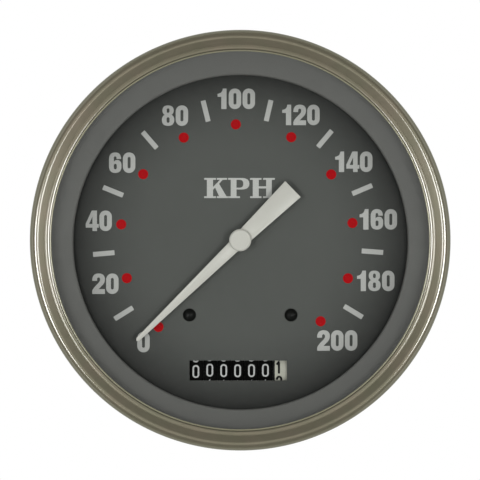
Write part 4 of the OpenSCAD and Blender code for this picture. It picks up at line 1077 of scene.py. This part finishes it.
def threaded(node, group, radius, pitch, axes, stretch, material):
    """Replaces a node by a copy with a cut thread of this radius and pitch around each axis along Y."""
    first, last = stretch
    depth = pitch * THREAD_DEPTH
    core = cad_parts[node].data.copy()
    for v in core.vertices:
        x, z = min(axes, key=lambda axis: math.dist(axis, (v.co.x, v.co.z)))
        r = math.dist((x, z), (v.co.x, v.co.z))
        if radius - depth < r < radius + 0.01 * MM and v.co.y > first - pitch:
            shrink = (radius - depth) / r
            v.co.x = x + (v.co.x - x) * shrink
            v.co.z = z + (v.co.z - z) * shrink
    add_piece(node + "_core", core, material, crease=30, stands_for=(node,))
    turns = (last - first) / pitch - 1
    for i, (x, z) in enumerate(axes):
        name = f"{node}_thread_{i + 1}"
        thread = grown(name, group, {
            "Root Radius": radius - depth, "Depth": depth, "Pitch": pitch, "Turns": turns,
            "Steps": int(turns * THREAD_STEPS), "Start": (x, first + pitch / 2, z), "Material": material,
        })
        add_piece(name, thread, material, crease=30)


class SPEEDO_OT_back(bpy.types.Operator):
    """Finishes the case and its back, and cuts the threads"""

    bl_idname = "speedo.back"
    bl_label = "Case and its back"

    def execute(self, context):
        s = settings().back
        nickel = metal("Nickel plate", (0.47, 0.465, 0.445), 0.3, scratch=0.06)
        studs = metal("Plated studs", (0.36, 0.345, 0.29), 0.3, scratch=0.06)
        finish_nodes("stud_steel", studs)
        finish_nodes("nipple_steel", nickel)
        group = screw_thread()
        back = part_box("cable_nipple")[1].y
        stretch = (back - s.nipple_length, back - THREAD_END)
        threaded("cable_nipple", group, s.nipple_d / 2, s.nipple_pitch, [(0.0, 0.0)], stretch, nickel)
        low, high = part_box("mounting_studs")
        reach = high.x - (high.z - low.z) / 2
        stretch = (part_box("stud_nuts")[1].y - 0.2 * MM, high.y - THREAD_END)
        threaded("mounting_studs", group, s.stud_d / 2, s.stud_pitch, [(-reach, 0.0), (reach, 0.0)], stretch,
                 studs)
        case = metal("Zinc plated case", (0.37, 0.38, 0.38), 0.38, mottle=0.03, tint=(0.41, 0.41, 0.385))
        finish_nodes("case_steel", case)
        finish_nodes("nut_steel", metal("Plated nuts", (0.6, 0.6, 0.58), 0.3))
        finish_nodes("holder_plastic", moulded("Black plastic", (0.018, 0.018, 0.018), 0.42))
        finish_nodes("bulb_glass", moulded("Bulb glass", (0.85, 0.84, 0.8), 0.15))
        finish_nodes("terminal_tin", metal("Tinned brass", (0.68, 0.67, 0.62), 0.3))
        return {"FINISHED"}


class SPEEDO_PG_all(bpy.types.PropertyGroup):
    bezel: PointerProperty(type=SPEEDO_PG_bezel)
    print: PointerProperty(type=SPEEDO_PG_print)
    colours: PointerProperty(type=SPEEDO_PG_colours)
    counter: PointerProperty(type=SPEEDO_PG_counter)
    back: PointerProperty(type=SPEEDO_PG_back)
    stage: PointerProperty(type=SPEEDO_PG_stage)


OPERATORS = (
    SPEEDO_OT_bezel, SPEEDO_OT_dial, SPEEDO_OT_pointer, SPEEDO_OT_counter, SPEEDO_OT_movement, SPEEDO_OT_back,
    SPEEDO_OT_stage,
)


class SPEEDO_PT_panel(bpy.types.Panel):
    """Lists the settings and the steps"""

    bl_idname = "SPEEDO_PT_panel"
    bl_label = "Speedometer"
    bl_space_type = "VIEW_3D"
    bl_region_type = "UI"
    bl_category = "Speedometer"

    def draw(self, context):
        for name in SPEEDO_PG_all.__annotations__:
            box = self.layout.box()
            box.label(text=name.capitalize())
            group = getattr(context.scene.speedometer, name)
            for key in type(group).__annotations__:
                box.prop(group, key)
        for operator in OPERATORS:
            self.layout.operator(operator.bl_idname)


CLASSES = (
    SPEEDO_PG_bezel, SPEEDO_PG_print, SPEEDO_PG_colours, SPEEDO_PG_counter, SPEEDO_PG_back, SPEEDO_PG_stage,
    SPEEDO_PG_all, *OPERATORS, SPEEDO_PT_panel,
)


def register():
    for cls in CLASSES:
        bpy.utils.register_class(cls)
    bpy.types.Scene.speedometer = PointerProperty(type=SPEEDO_PG_all)


def unregister():
    del bpy.types.Scene.speedometer
    for cls in reversed(CLASSES):
        bpy.utils.unregister_class(cls)


def main():
    register()
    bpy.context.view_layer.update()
    for operator in OPERATORS:
        group, name = operator.bl_idname.split(".")
        getattr(getattr(bpy.ops, group), name)()


if __name__ == "__main__":
    main()
